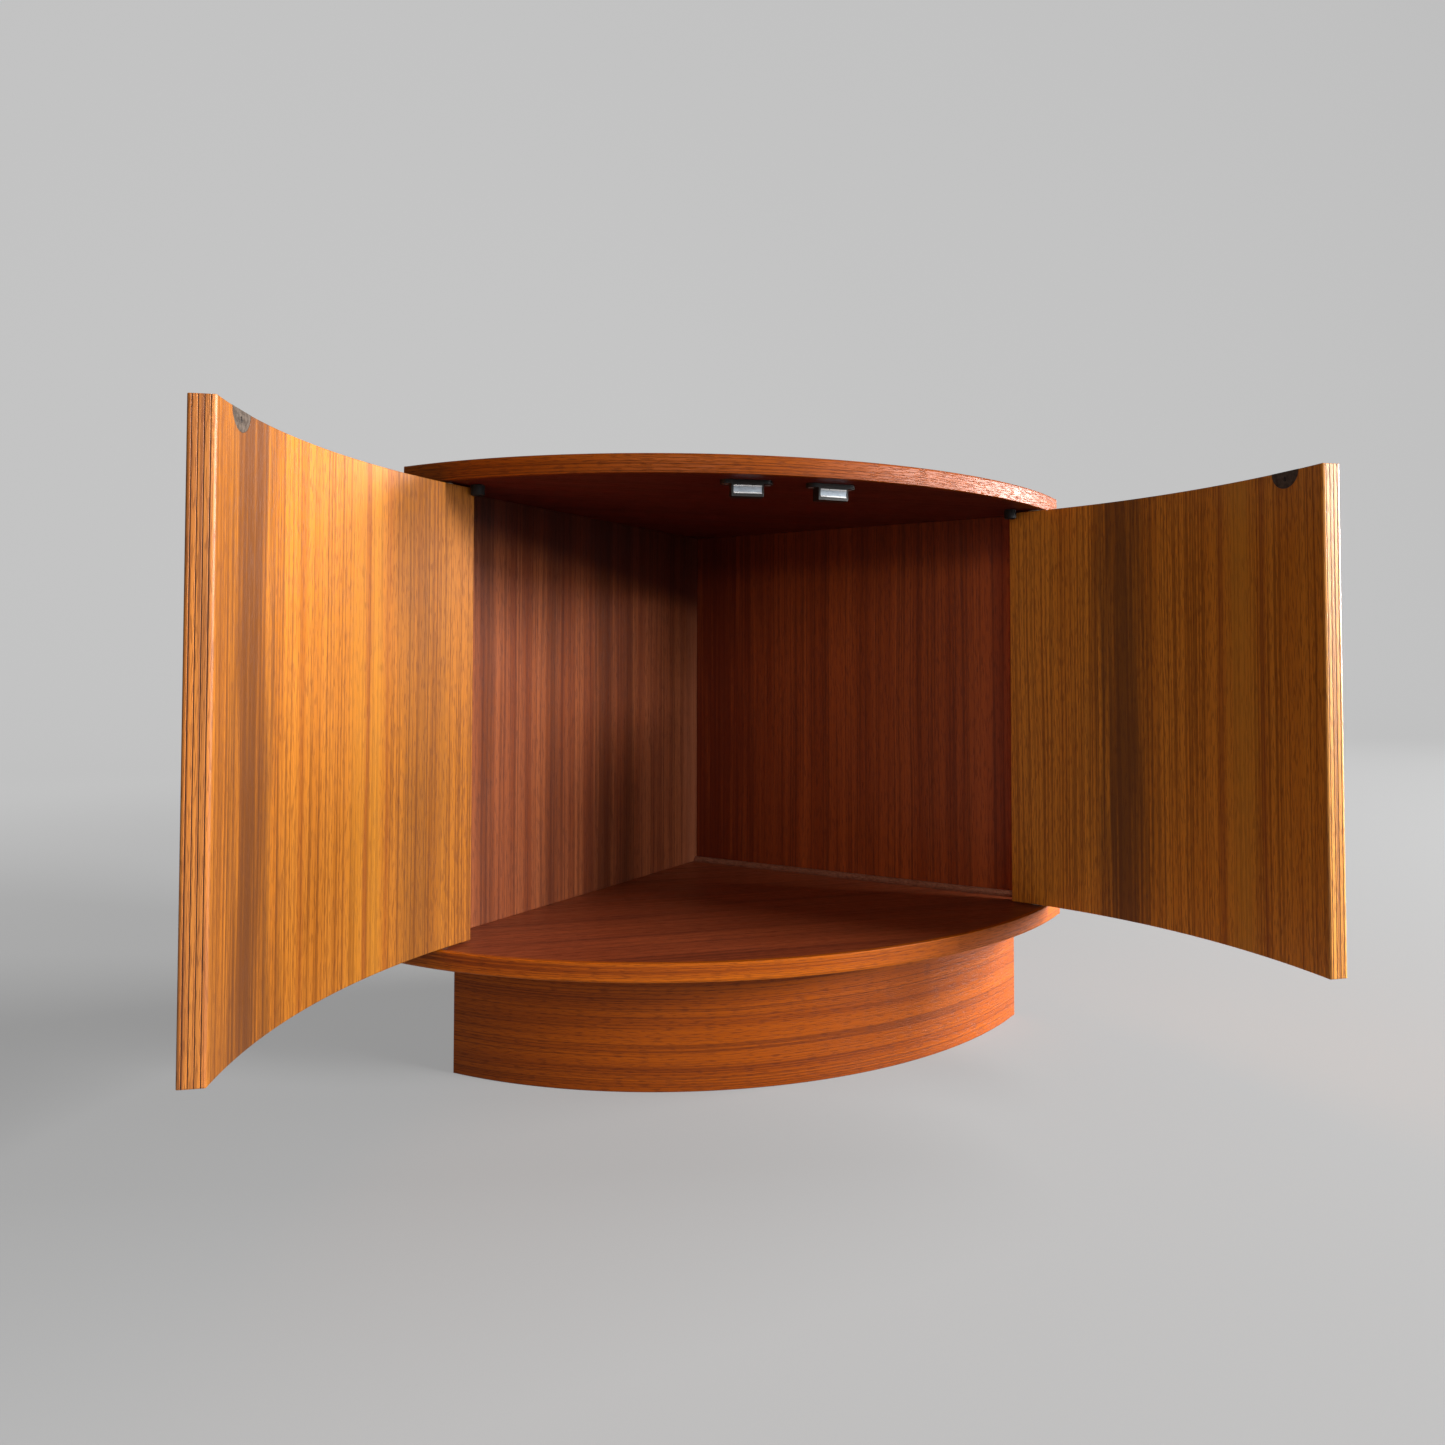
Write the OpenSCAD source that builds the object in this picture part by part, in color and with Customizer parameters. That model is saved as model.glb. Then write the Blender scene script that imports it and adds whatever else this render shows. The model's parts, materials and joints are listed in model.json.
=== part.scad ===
// Bow-fronted corner cabinet on a curved plinth, with two curved laminated
// doors standing open. All sizes are in millimetres. X runs to the right,
// Y runs from the bowed front to the rear corner, Z runs up from the floor.
// The origin is on the floor, at the middle of the plinth front's underside.

/* [Overall] */
// width over the two side tips of the boards
body_w = 704; // [580:1:860]
// depth from the crown of the bowed front to the rear corner
body_d = 496; // [420:1:620]
// clear height between the bottom board and the top board
inner_h = 436; // [300:1:560]
// height of the plinth
plinth_h = 113; // [60:1:160]

/* [Boards and walls] */
// thickness of the top board and the bottom board
board_t = 18; // [15:0.5:25]
// thickness of the two walls behind the cabinet
wall_t = 15; // [12:0.5:20]
// thickness of the solid strip along the front of each board
lipping_t = 5; // [3.5:0.5:8]
// radius of the rounded long edge of each strip
edge_r = 3; // [1:0.5:3.5]
// how far the front ends of the walls stay behind the boards
wall_setback = 2; // [1:0.5:6]
// width of the bead along the foot of the right wall
bead_w = 7; // [4:0.5:12]
// height of the bead along the foot of the right wall
bead_h = 6; // [3:0.5:12]

/* [Plinth] */
// how far the plinth front stands behind the front of the boards
plinth_inset = 45; // [25:1:80]
// how far the plinth sides stand in from the outside of the walls
plinth_side_inset = 24; // [10:1:50]
// thickness of the plinth boards
plinth_t = 16; // [12:0.5:22]
// length of each glue block inside the plinth
block_len = 40; // [25:1:60]
// width of each glue block
block_w = 25; // [18:1:35]
// height of each glue block
block_h = 30; // [20:1:45]

/* [Doors] */
// thickness of each door
door_t = 18; // [15:0.5:22]
// number of layers glued into each door
ply_count = 5; // [3:1:7]
// thickness of the glue between two layers
glue_t = 0.3; // [0.2:0.05:0.5]
// how far the outside of a closed door stays behind the front of the boards
door_inset = 7; // [4:0.5:15]
// gap above and below each door
door_gap_z = 2; // [1.5:0.1:4]
// gap between the two closed doors
door_gap_centre = 2; // [1.5:0.1:4]
// gap between the end of a closed door and the wall
door_gap_wall = 1.6; // [1.4:0.1:3]
// how far the left door stands open, in degrees
left_open = 94.7; // [20:0.1:95]
// how far the right door stands open, in degrees
right_open = 88.1; // [20:0.1:95]
// opening angle at which a door meets its stop, in degrees
stop_open = 95.6; // [95.6:0.1:98]

/* [Pivot hinges] */
// distance of each pivot from the hinge end of the door
pivot_from_end = 24; // [20:0.5:32]
// distance of each pivot from the inside of the door
pivot_from_inside = 11.5; // [9:0.5:13]
// radius of the pivot pins
pin_r = 2.5; // [2:0.1:3]
// radial running clearance of a pin in its door plate
pin_clear = 0.05; // [0.02:0.01:0.1]
// length of pin below the gap, inside the door
pin_depth = 10; // [6:0.5:14]
// width of the pivot plates
plate_w = 10; // [8:0.5:11]
// thickness of the pivot plates
plate_t = 2; // [1.5:0.1:2.5]
// outside radius of the pivot washers
washer_r = 6; // [4.5:0.5:8]

/* [Door stops] */
// radius of each rubber stop
stop_r = 6.5; // [5:0.5:7]
// height of each rubber stop
stop_h = 10; // [6:0.5:14]
// gap left between a stop and the face it meets
stop_gap = 0.3; // [0.2:0.1:0.6]

/* [Magnetic catches] */
// distance of each catch and strike plate from the free edge of its door
catch_from_edge = 42; // [34:0.5:60]
// width over the two ears of a catch
catch_flange_w = 50; // [44:1:56]
// thickness of the ears of a catch
catch_flange_t = 4; // [2.5:0.5:5]
// width of the body of a catch
catch_w = 30.5; // [26:0.5:36]
// depth of a catch from front to back
catch_d = 14; // [11:0.5:18]
// height of a catch below the top board
catch_h = 16; // [13:0.5:18]
// width of the magnet and its two steel plates
magnet_w = 26.6; // [20:0.1:30]
// height of the magnet alone
magnet_h = 5; // [3:0.5:6]
// thickness of each steel plate beside the magnet
pole_t = 1.5; // [1:0.1:2]
// how far the steel plates stand out of the housing
pole_out = 0.6; // [0.3:0.1:1]
// gap between the steel plates and the closed door
catch_gap = 0.7; // [0.5:0.1:1.5]
// radius of the half-round strike plate in each door
strike_r = 15; // [12:0.5:18]
// thickness of the strike plates
strike_t = 1.5; // [1:0.1:2]

/* [Door pulls] */
// distance of each pull from the free edge of its door
pull_from_edge = 46; // [30:1:60]
// length of each pull
pull_len = 96; // [60:1:160]
// width of each pull
pull_w = 12; // [8:0.5:18]
// how far each pull stands out of the door
pull_out = 11; // [8:0.5:14]
// radius of the finger groove along each side of a pull
grip_r = 3.4; // [2:0.1:4]
// distance of the groove's centre from the door
grip_from_door = 4.2; // [3.8:0.1:6]
// how far the middle of each pull lies above the middle of its door
pull_up = 9; // [-60:1:90]
// radius of the wooden pegs that hold a pull
peg_r = 2.5; // [2:0.1:3]

/* [Hidden] */
$fn = 48;
big_fn = 360;
// slight overshoot, full overshoot of a cut, and the play round a let-in plate
eps = 0.01;
over = 1;
fit = 0.1;
// wood screws: length, head radius, shank radius
board_plate_screw = [11, 2.8, 1.3];
door_plate_screw = [14, 2.8, 1.3];
stop_screw = [18, 3.2, 1.5];
catch_screw = [14, 3, 1.4];
strike_screw_size = [9, 2.2, 1.1];
corner_screw = [40, 4, 2];
block_screw = [block_h + 12, 4, 2];
screw_tip = 2;
screw_tip_r = 0.3;
// ends of the pivot plates, measured from the pivot along the door
board_plate_from = -7;
board_plate_to = 23;
door_plate_from = -32;
door_plate_to = 10;
board_screw_at = [9, 17];
door_screw_at = [-25, -12];
// running clearances and small steps
washer_play = 0.2;
pin_room = 0.7;
bead_clear = 3;
stop_recess = 2.5;
stop_recess_r = stop_screw[1] + 0.4;
catch_back = 4;
magnet_drop = 1.2;
magnet_set = 0.2;
strike_screw_drop = 6.5;
half = body_w / 2;
tip_back = body_d - half;
arc_r = (tip_back * tip_back + half * half) / (2 * tip_back);
crown_y = -(plinth_inset + plinth_t / 2);
arc_y = crown_y + arc_r;
// half the angle that the blanks of the curved boards span, a little past the tips
bow_reach = 2 * atan(tip_back / half) + 5;
rear_y = crown_y + body_d;
rear_in_y = rear_y - wall_t * sqrt(2);
floor_z = plinth_h + board_t;
ceil_z = floor_z + inner_h;
mid_z = (floor_z + ceil_z) / 2;
panel_r = arc_r - lipping_t;
door_ro = arc_r - door_inset;
door_ri = door_ro - door_t;
door_rm = (door_ro + door_ri) / 2;
door_top = ceil_z - door_gap_z;
door_bot = floor_z + door_gap_z;
ply_t = (door_t - (ply_count - 1) * glue_t) / ply_count;
per_deg = door_rm * PI / 180;
free_deg = door_gap_centre / 2 / per_deg;
wall_reach = (rear_in_y - arc_y) / sqrt(2) - door_gap_wall;
tail_deg = 45 + min(asin(wall_reach / door_ri), asin(wall_reach / door_ro));
pivot_deg = tail_deg - pivot_from_end / per_deg;
pivot_rad = door_ri + pivot_from_inside;
pivot_x = pivot_rad * sin(pivot_deg);
pivot_y = arc_y - pivot_rad * cos(pivot_deg);
catch_deg = free_deg + catch_from_edge / per_deg;
pull_deg = free_deg + pull_from_edge / per_deg;
washer_t = door_gap_z - 2 * washer_play;
wall_len = half * sqrt(2);
pivot_along = (pivot_x - (pivot_y - rear_y)) / sqrt(2);
tail_reach = sqrt(pow(pivot_from_end, 2) + pow(pivot_from_inside, 2));
bead_end = pivot_along - tail_reach - bead_clear;
face_dip = pow(pivot_from_end, 2) / (2 * door_ri);
stop_a = pivot_from_inside + stop_r + stop_gap + face_dip;
stop_b = (stop_a + stop_gap - stop_a * cos(stop_open)) / sin(stop_open);
stop_turn = pivot_deg + stop_open;
stop_x = pivot_x - stop_a * sin(stop_turn) + stop_b * cos(stop_turn);
stop_y = pivot_y + stop_a * cos(stop_turn) + stop_b * sin(stop_turn);
plinth_ro = arc_r - plinth_inset;
plinth_ri = plinth_ro - plinth_t;
dowel_r = 4;
dowel_in_board = 12;
dowel_in_wall = 18;
dowel_along = [0.16 * wall_len, 0.5 * wall_len, 0.84 * wall_len];
corner_screw_z = [0.1 * inner_h, 0.37 * inner_h, 0.63 * inner_h, 0.9 * inner_h];
block_along = [0.3 * wall_len, 0.62 * wall_len];
catch_front = door_ri - catch_gap - pole_out;
magnet_z = ceil_z - catch_flange_t - magnet_drop - pole_t - magnet_h / 2;
magnet_d = catch_d - catch_back;
catch_screw_x = (catch_flange_w + catch_w) / 4;
pull_z = mid_z + pull_up;
peg_z = 0.3 * pull_len;
peg_in_door = 10;
peg_in_pull = 6;

teak = [0.62, 0.35, 0.17];
teak_dark = [0.50, 0.26, 0.12];
sapele = [0.36, 0.15, 0.09];
glue = [0.22, 0.09, 0.04];
pale = [0.80, 0.68, 0.50];
steel = [0.55, 0.56, 0.57];
dark_steel = [0.23, 0.23, 0.24];
black = [0.05, 0.05, 0.05];
nylon = [0.85, 0.84, 0.80];

// ---- shared frames ----

// both sides of the middle plane
module both_sides() {
    children();
    mirror([1, 0, 0]) children();
}

// right wall's own frame: X along the wall from the rear corner, Y outwards
module wall_frame() {
    translate([0, rear_y, 0]) rotate([0, 0, -45]) children();
}

// a place on a circle about the bow's centre: X along the bow, -Y outwards
module at_bow(deg, r) {
    translate([0, arc_y, 0]) rotate([0, 0, deg]) translate([0, -r, 0]) children();
}

// same thing at the top and mirrored at the bottom of the opening
module top_and_bottom() {
    children();
    translate([0, 0, 2 * mid_z]) mirror([0, 0, 1]) children();
}

// turn the right-hand closed door about its pivot
module swing(deg) {
    translate([pivot_x, pivot_y, 0]) rotate([0, 0, deg])
        translate([-pivot_x, -pivot_y, 0]) children();
}

module as_left_door() {
    mirror([1, 0, 0]) swing(left_open) children();
}

module as_right_door() {
    swing(right_open) children();
}

// ---- shared shapes ----

// everything in front of two planes parallel to the walls
module corner_wedge(inset, z, h) {
    tip = rear_y - inset * sqrt(2);
    reach = 2 * body_d;
    translate([0, 0, z]) linear_extrude(h)
        polygon([[0, tip], [reach, tip - reach], [-reach, tip - reach]]);
}

// round disc about the bow's centre
module bow_disc(r, z, h) {
    translate([0, arc_y, z]) cylinder(h = h, r = r, $fn = big_fn);
}

// curved slab between two radii and two angles
module bow_slab(r1, r2, deg1, deg2, z, h) {
    translate([0, arc_y, z]) rotate_extrude(angle = deg2 - deg1, start = deg1 - 90, $fn = big_fn)
        translate([r1, 0]) square([r2 - r1, h]);
}

// wood screw [length, head radius, shank radius]: head flush with z = 0, pointing down
module screw(size) {
    shank_r = size[2];
    head_h = size[1] - shank_r;
    shank = size[0] - head_h - screw_tip;
    translate([0, 0, -head_h]) cylinder(h = head_h, r1 = shank_r, r2 = size[1]);
    translate([0, 0, -head_h - shank]) cylinder(h = shank, r = shank_r);
    translate([0, 0, -size[0]]) cylinder(h = screw_tip, r1 = screw_tip_r, r2 = shank_r);
}

// flat bar with round ends, lying from x1 to x2
module round_bar(x1, x2, w, t) {
    translate([x1 + w / 2, -w / 2, 0]) cube([x2 - x1 - w, w, t]);
    translate([x1 + w / 2, 0, 0]) cylinder(h = t, r = w / 2);
    translate([x2 - w / 2, 0, 0]) cylinder(h = t, r = w / 2);
}

// ---- boards ----

module dowel_set() {
    for (x = dowel_along)
        translate([x, -wall_t / 2, ceil_z - dowel_in_wall])
            cylinder(h = dowel_in_wall + dowel_in_board, r = dowel_r);
}

module all_dowels() {
    both_sides() wall_frame() top_and_bottom() dowel_set();
}

module at_pivot() {
    translate([pivot_x, pivot_y, 0]) rotate([0, 0, pivot_deg]) children();
}

module hinge_plate_screw_set() {
    for (x = board_screw_at)
        translate([x, 0, ceil_z]) rotate([180, 0, 0]) screw(board_plate_screw);
}

module board_hinge_recess() {
    both_sides() at_pivot() {
        translate([0, 0, ceil_z - eps])
            round_bar(board_plate_from - fit, board_plate_to + fit, plate_w + 2 * fit, plate_t + eps);
        hinge_plate_screw_set();
    }
}

module stop_screw_set() {
    both_sides() translate([stop_x, stop_y, ceil_z - stop_h + stop_recess])
        rotate([180, 0, 0]) screw(stop_screw);
}

module catch_frame() {
    both_sides() at_bow(catch_deg, catch_front) children();
}

module catch_screw_set() {
    catch_frame() for (s = [-1, 1])
        translate([s * catch_screw_x, catch_d / 2, ceil_z - catch_flange_t])
            rotate([180, 0, 0]) screw(catch_screw);
}

module top_panel() {
    color(sapele) difference() {
        intersection() {
            bow_disc(panel_r, ceil_z, board_t);
            corner_wedge(0, ceil_z, board_t);
        }
        all_dowels();
        board_hinge_recess();
        stop_screw_set();
        catch_screw_set();
    }
}

// section of a lipping, its outer top edge rounded
module lipping_profile() {
    translate([panel_r, 0]) intersection() {
        square([lipping_t, board_t]);
        union() {
            square([lipping_t, board_t - edge_r]);
            square([lipping_t - edge_r, board_t]);
            translate([lipping_t - edge_r, board_t - edge_r]) circle(edge_r);
        }
    }
}

module lipping() {
    intersection() {
        translate([0, arc_y, 0])
            rotate_extrude(angle = 2 * bow_reach, start = -90 - bow_reach, $fn = big_fn)
                lipping_profile();
        corner_wedge(0, 0, board_t);
    }
}

module top_front_lipping() {
    color(teak) translate([0, 0, ceil_z]) lipping();
}

module bottom_panel() {
    color(sapele) difference() {
        intersection() {
            bow_disc(panel_r, plinth_h, board_t);
            corner_wedge(0, plinth_h, board_t);
        }
        all_dowels();
        translate([0, 0, 2 * mid_z]) mirror([0, 0, 1]) board_hinge_recess();
        block_screw_set();
    }
}

module bottom_front_lipping() {
    color(teak) translate([0, 0, floor_z]) mirror([0, 0, 1]) lipping();
}

// ---- walls ----

module wall_slab(start) {
    intersection() {
        wall_frame() translate([start, -wall_t, floor_z]) cube([wall_len, wall_t, inner_h]);
        bow_disc(arc_r - wall_setback, floor_z, inner_h);
    }
}

module corner_screw_set() {
    wall_frame() for (z = corner_screw_z)
        translate([0, -wall_t / 2, floor_z + z]) rotate([0, -90, 0]) screw(corner_screw);
}

module left_wall() {
    color(sapele) difference() {
        mirror([1, 0, 0]) wall_slab(0);
        all_dowels();
        corner_screw_set();
    }
}

module right_wall() {
    color(sapele) difference() {
        wall_slab(wall_t);
        all_dowels();
        corner_screw_set();
    }
}

module wall_dowels() {
    color(pale) all_dowels();
}

module wall_corner_screws() {
    color(steel) corner_screw_set();
}

module floor_bead() {
    color(teak_dark) wall_frame() translate([wall_t, -wall_t, floor_z])
        rotate([90, 0, 90]) linear_extrude(bead_end - wall_t)
            polygon([[0, 0], [-bead_w, 0], [-bead_w, bead_h / 2], [-bead_w / 2, bead_h],
                [0, bead_h]]);
}

// ---- plinth ----

module plinth_front() {
    color(teak) intersection() {
        bow_slab(plinth_ri, plinth_ro, -bow_reach, bow_reach, 0, plinth_h);
        corner_wedge(plinth_side_inset, 0, plinth_h);
    }
}

module plinth_side(start) {
    intersection() {
        wall_frame() translate([start, -plinth_side_inset - plinth_t, 0])
            cube([wall_len, plinth_t, plinth_h]);
        bow_disc(plinth_ri, 0, plinth_h);
    }
}

module plinth_left_side() {
    color(teak_dark) mirror([1, 0, 0]) plinth_side(plinth_side_inset);
}

module plinth_right_side() {
    color(teak_dark) plinth_side(plinth_side_inset + plinth_t);
}

module block_places() {
    both_sides() wall_frame() for (x = block_along)
        translate([x, -plinth_side_inset - plinth_t, 0]) children();
}

module block_screw_set() {
    block_places() translate([0, -block_w / 2, plinth_h - block_h])
        rotate([180, 0, 0]) screw(block_screw);
}

module plinth_blocks() {
    color(pale) difference() {
        block_places() translate([-block_len / 2, -block_w, plinth_h - block_h])
            cube([block_len, block_w, block_h]);
        block_screw_set();
    }
}

module plinth_block_screws() {
    color(steel) block_screw_set();
}

// ---- pivot hinges, fixed half ----

module hinge_plates() {
    color(dark_steel) both_sides() top_and_bottom() difference() {
        at_pivot() translate([0, 0, ceil_z])
            round_bar(board_plate_from, board_plate_to, plate_w, plate_t);
        at_pivot() translate([0, 0, ceil_z - over]) cylinder(h = plate_t + 2 * over, r = pin_r);
        at_pivot() hinge_plate_screw_set();
    }
}

module hinge_pins() {
    color(steel) both_sides() top_and_bottom() at_pivot()
        translate([0, 0, door_top - pin_depth])
            cylinder(h = pin_depth + door_gap_z + plate_t, r = pin_r);
}

module hinge_washers() {
    color(nylon) both_sides() top_and_bottom() at_pivot()
        translate([0, 0, ceil_z - washer_play - washer_t]) difference() {
            cylinder(h = washer_t, r = washer_r);
            translate([0, 0, -over]) cylinder(h = washer_t + 2 * over, r = pin_r + pin_clear);
        }
}

module hinge_plate_screws() {
    color(steel) both_sides() top_and_bottom() at_pivot() hinge_plate_screw_set();
}

// ---- stops and catches ----

module door_stops() {
    color(black) difference() {
        both_sides() translate([stop_x, stop_y, ceil_z - stop_h]) difference() {
            cylinder(h = stop_h, r = stop_r);
            translate([0, 0, -over]) cylinder(h = stop_recess + over, r = stop_recess_r);
        }
        stop_screw_set();
    }
}

module door_stop_screws() {
    color(steel) stop_screw_set();
}

module catch_pocket() {
    ph = magnet_h + 2 * pole_t;
    translate([-magnet_w / 2, -over, magnet_z - ph / 2]) cube([magnet_w, magnet_d + over, ph]);
}

module catch_housings() {
    color(black) difference() {
        catch_frame() difference() {
            union() {
                translate([0, catch_d / 2, ceil_z - catch_flange_t])
                    round_bar(-catch_flange_w / 2, catch_flange_w / 2, catch_d, catch_flange_t);
                translate([-catch_w / 2, 0, ceil_z - catch_h])
                    cube([catch_w, catch_d, catch_h]);
            }
            catch_pocket();
        }
        catch_screw_set();
    }
}

module catch_magnets() {
    color(dark_steel) catch_frame()
        translate([-magnet_w / 2, magnet_set, magnet_z - magnet_h / 2])
            cube([magnet_w, magnet_d - magnet_set, magnet_h]);
}

module catch_pole_plates() {
    color(steel) catch_frame() for (z = [-magnet_h / 2 - pole_t, magnet_h / 2])
        translate([-magnet_w / 2, -pole_out, magnet_z + z])
            cube([magnet_w, magnet_d + pole_out, pole_t]);
}

module catch_screws() {
    color(steel) catch_screw_set();
}

// ---- one closed right-hand door, with its fittings ----

module door_plate_screw_set() {
    top_and_bottom() at_pivot() for (x = door_screw_at)
        translate([x, 0, door_top]) screw(door_plate_screw);
}

// half-round shape on the inside of the door, cut off at the height z_cut
module strike_shape(r, y1, y2, z_cut) {
    at_bow(catch_deg, door_ri) intersection() {
        translate([0, y2, door_top]) rotate([90, 0, 0]) cylinder(h = y2 - y1, r = r);
        translate([-r - over, y1 - over, door_top - r - over])
            cube([2 * (r + over), y2 - y1 + 2 * over, z_cut - door_top + r + over]);
    }
}

module strike_screw() {
    at_bow(catch_deg, door_ri) translate([0, 0, door_top - strike_screw_drop])
        rotate([-90, 0, 0]) screw(strike_screw_size);
}

module pull_peg_set() {
    at_bow(pull_deg, door_ro) for (z = [-peg_z, peg_z])
        translate([0, peg_in_door, pull_z + z]) rotate([90, 0, 0])
            cylinder(h = peg_in_door + peg_in_pull, r = peg_r);
}

module door_cuts() {
    top_and_bottom() at_pivot() {
        translate([0, 0, door_top - plate_t])
            round_bar(door_plate_from - fit, door_plate_to + fit, plate_w + 2 * fit, plate_t + over);
        translate([0, 0, door_top - pin_depth - over])
            cylinder(h = pin_depth + 2 * over, r = pin_r + pin_room);
    }
    door_plate_screw_set();
    strike_shape(strike_r + fit, -strike_t, over, door_top + over);
    strike_screw();
    pull_peg_set();
}

module door_layer(r, t) {
    difference() {
        bow_slab(r, r + t, free_deg, tail_deg, door_bot, door_top - door_bot);
        door_cuts();
    }
}

module door_plies() {
    for (i = [0 : ply_count - 1])
        door_layer(door_ri + i * (ply_t + glue_t), ply_t);
}

module door_glue_lines() {
    for (i = [1 : ply_count - 1])
        door_layer(door_ri + i * (ply_t + glue_t) - glue_t, glue_t);
}

module door_pivot_plates() {
    difference() {
        top_and_bottom() at_pivot() translate([0, 0, door_top - plate_t]) difference() {
            round_bar(door_plate_from, door_plate_to, plate_w, plate_t);
            translate([0, 0, -over]) cylinder(h = plate_t + 2 * over, r = pin_r + pin_clear);
        }
        door_plate_screw_set();
    }
}

module door_strike_plate() {
    difference() {
        strike_shape(strike_r, -strike_t, 0, door_top);
        strike_screw();
    }
}

module door_pull() {
    difference() {
        at_bow(pull_deg, door_ro) translate([-pull_w / 2, -pull_out, pull_z - pull_len / 2])
            difference() {
                cube([pull_w, pull_out, pull_len]);
                for (x = [-over, pull_w + over])
                    translate([x, pull_out - grip_from_door, -over])
                        cylinder(h = pull_len + 2 * over, r = grip_r);
            }
        pull_peg_set();
    }
}

// ---- the two doors as they stand ----

module left_door_plies() { color(teak) as_left_door() door_plies(); }
module left_door_glue_lines() { color(glue) as_left_door() door_glue_lines(); }
module left_door_pivot_plates() { color(dark_steel) as_left_door() door_pivot_plates(); }
module left_door_plate_screws() { color(steel) as_left_door() door_plate_screw_set(); }
module left_door_strike_plate() { color(dark_steel) as_left_door() door_strike_plate(); }
module left_door_strike_screw() { color(dark_steel) as_left_door() strike_screw(); }
module left_door_pull() { color(teak_dark) as_left_door() door_pull(); }
module left_door_pull_pegs() { color(pale) as_left_door() pull_peg_set(); }

module right_door_plies() { color(teak) as_right_door() door_plies(); }
module right_door_glue_lines() { color(glue) as_right_door() door_glue_lines(); }
module right_door_pivot_plates() { color(dark_steel) as_right_door() door_pivot_plates(); }
module right_door_plate_screws() { color(steel) as_right_door() door_plate_screw_set(); }
module right_door_strike_plate() { color(dark_steel) as_right_door() door_strike_plate(); }
module right_door_strike_screw() { color(dark_steel) as_right_door() strike_screw(); }
module right_door_pull() { color(teak_dark) as_right_door() door_pull(); }
module right_door_pull_pegs() { color(pale) as_right_door() pull_peg_set(); }

// ---- drawing ----
top_panel();
top_front_lipping();
bottom_panel();
bottom_front_lipping();
left_wall();
right_wall();
wall_dowels();
wall_corner_screws();
floor_bead();
plinth_front();
plinth_left_side();
plinth_right_side();
plinth_blocks();
plinth_block_screws();
hinge_plates();
hinge_pins();
hinge_washers();
hinge_plate_screws();
door_stops();
door_stop_screws();
catch_housings();
catch_magnets();
catch_pole_plates();
catch_screws();
left_door_plies();
left_door_glue_lines();
left_door_pivot_plates();
left_door_plate_screws();
left_door_strike_plate();
left_door_strike_screw();
left_door_pull();
left_door_pull_pegs();
right_door_plies();
right_door_glue_lines();
right_door_pivot_plates();
right_door_plate_screws();
right_door_strike_plate();
right_door_strike_screw();
right_door_pull();
right_door_pull_pegs();
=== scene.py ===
# %% [markdown]
# # A bow-fronted corner cabinet in teak
#
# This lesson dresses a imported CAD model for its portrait. The CAD model gives every place and size.
# Here each piece gets what a maker would see up close: eased edges, laminated door ends, grain that
# follows the bend, countersunk screws, and finishes built from nodes.

# %% Load the frame
import json
import math

import bmesh
import bpy
from mathutils import Matrix, Vector


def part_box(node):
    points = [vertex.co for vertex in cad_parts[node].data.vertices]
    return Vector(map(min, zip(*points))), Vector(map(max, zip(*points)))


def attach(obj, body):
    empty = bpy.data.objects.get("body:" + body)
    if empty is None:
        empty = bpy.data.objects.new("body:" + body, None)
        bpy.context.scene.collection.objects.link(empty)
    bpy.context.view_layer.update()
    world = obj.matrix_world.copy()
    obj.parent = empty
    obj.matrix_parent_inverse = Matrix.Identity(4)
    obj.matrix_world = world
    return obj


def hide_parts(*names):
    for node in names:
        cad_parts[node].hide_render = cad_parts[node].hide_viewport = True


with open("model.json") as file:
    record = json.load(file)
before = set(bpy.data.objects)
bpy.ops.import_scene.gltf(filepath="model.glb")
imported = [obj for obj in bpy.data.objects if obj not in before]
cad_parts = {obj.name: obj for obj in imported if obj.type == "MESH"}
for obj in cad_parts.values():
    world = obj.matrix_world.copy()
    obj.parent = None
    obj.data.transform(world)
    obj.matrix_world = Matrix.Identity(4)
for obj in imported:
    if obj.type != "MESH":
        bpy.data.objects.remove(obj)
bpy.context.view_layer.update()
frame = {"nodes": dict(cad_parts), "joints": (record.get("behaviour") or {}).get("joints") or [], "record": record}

MM = 0.001

# %% [markdown]
# ## Read the bow from the boards
#
# The front edge of each board is part of one circle. Its radius and centre follow from how wide the
# board is and how far its two tips lie behind the crown, so nothing is typed in twice.

# %% Measure the bow
lip_low, lip_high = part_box("top_front_lipping")
_, panel_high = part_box("top_panel")
HALF_WIDTH = lip_high.x
CROWN_Y = lip_low.y
REAR_Y = panel_high.y
TIP_BACK = (REAR_Y - HALF_WIDTH) - CROWN_Y
BOW_R = (TIP_BACK ** 2 + HALF_WIDTH ** 2) / (2 * TIP_BACK)
BOW_Y = CROWN_Y + BOW_R
print(f"bow radius {BOW_R:.4f} m, centre at y = {BOW_Y:.4f} m")

# %% [markdown]
# ## Where each door stands
#
# A door is easiest to make closed, on the right-hand side. One matrix then carries it to where it
# stands open: a turn about its pivot, and for the left door a mirror as well. The joint knows the
# pivot, and its lower limit is the closed door, so the open angle is that limit with its sign
# changed.

# %% Door places
JOINTS = {joint["child"]: joint for joint in frame["joints"]}
MIRROR = Matrix.Scale(-1, 4, Vector((1, 0, 0)))


def door_place(body):
    joint = JOINTS[body]
    pivot = Vector((abs(joint["pos_m"][0]), joint["pos_m"][1], 0))
    opened = math.radians(-joint["range_deg"][0])
    turn = (Matrix.Translation(pivot) @ Matrix.Rotation(opened, 4, "Z")
            @ Matrix.Translation(-pivot))
    return MIRROR @ turn if joint["pos_m"][0] < 0 else turn


PLACE = {body: door_place(body) for body in ("left_door", "right_door")}
PIVOT_X, PIVOT_Y = (abs(JOINTS["right_door"]["pos_m"][0]), JOINTS["right_door"]["pos_m"][1])


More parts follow.
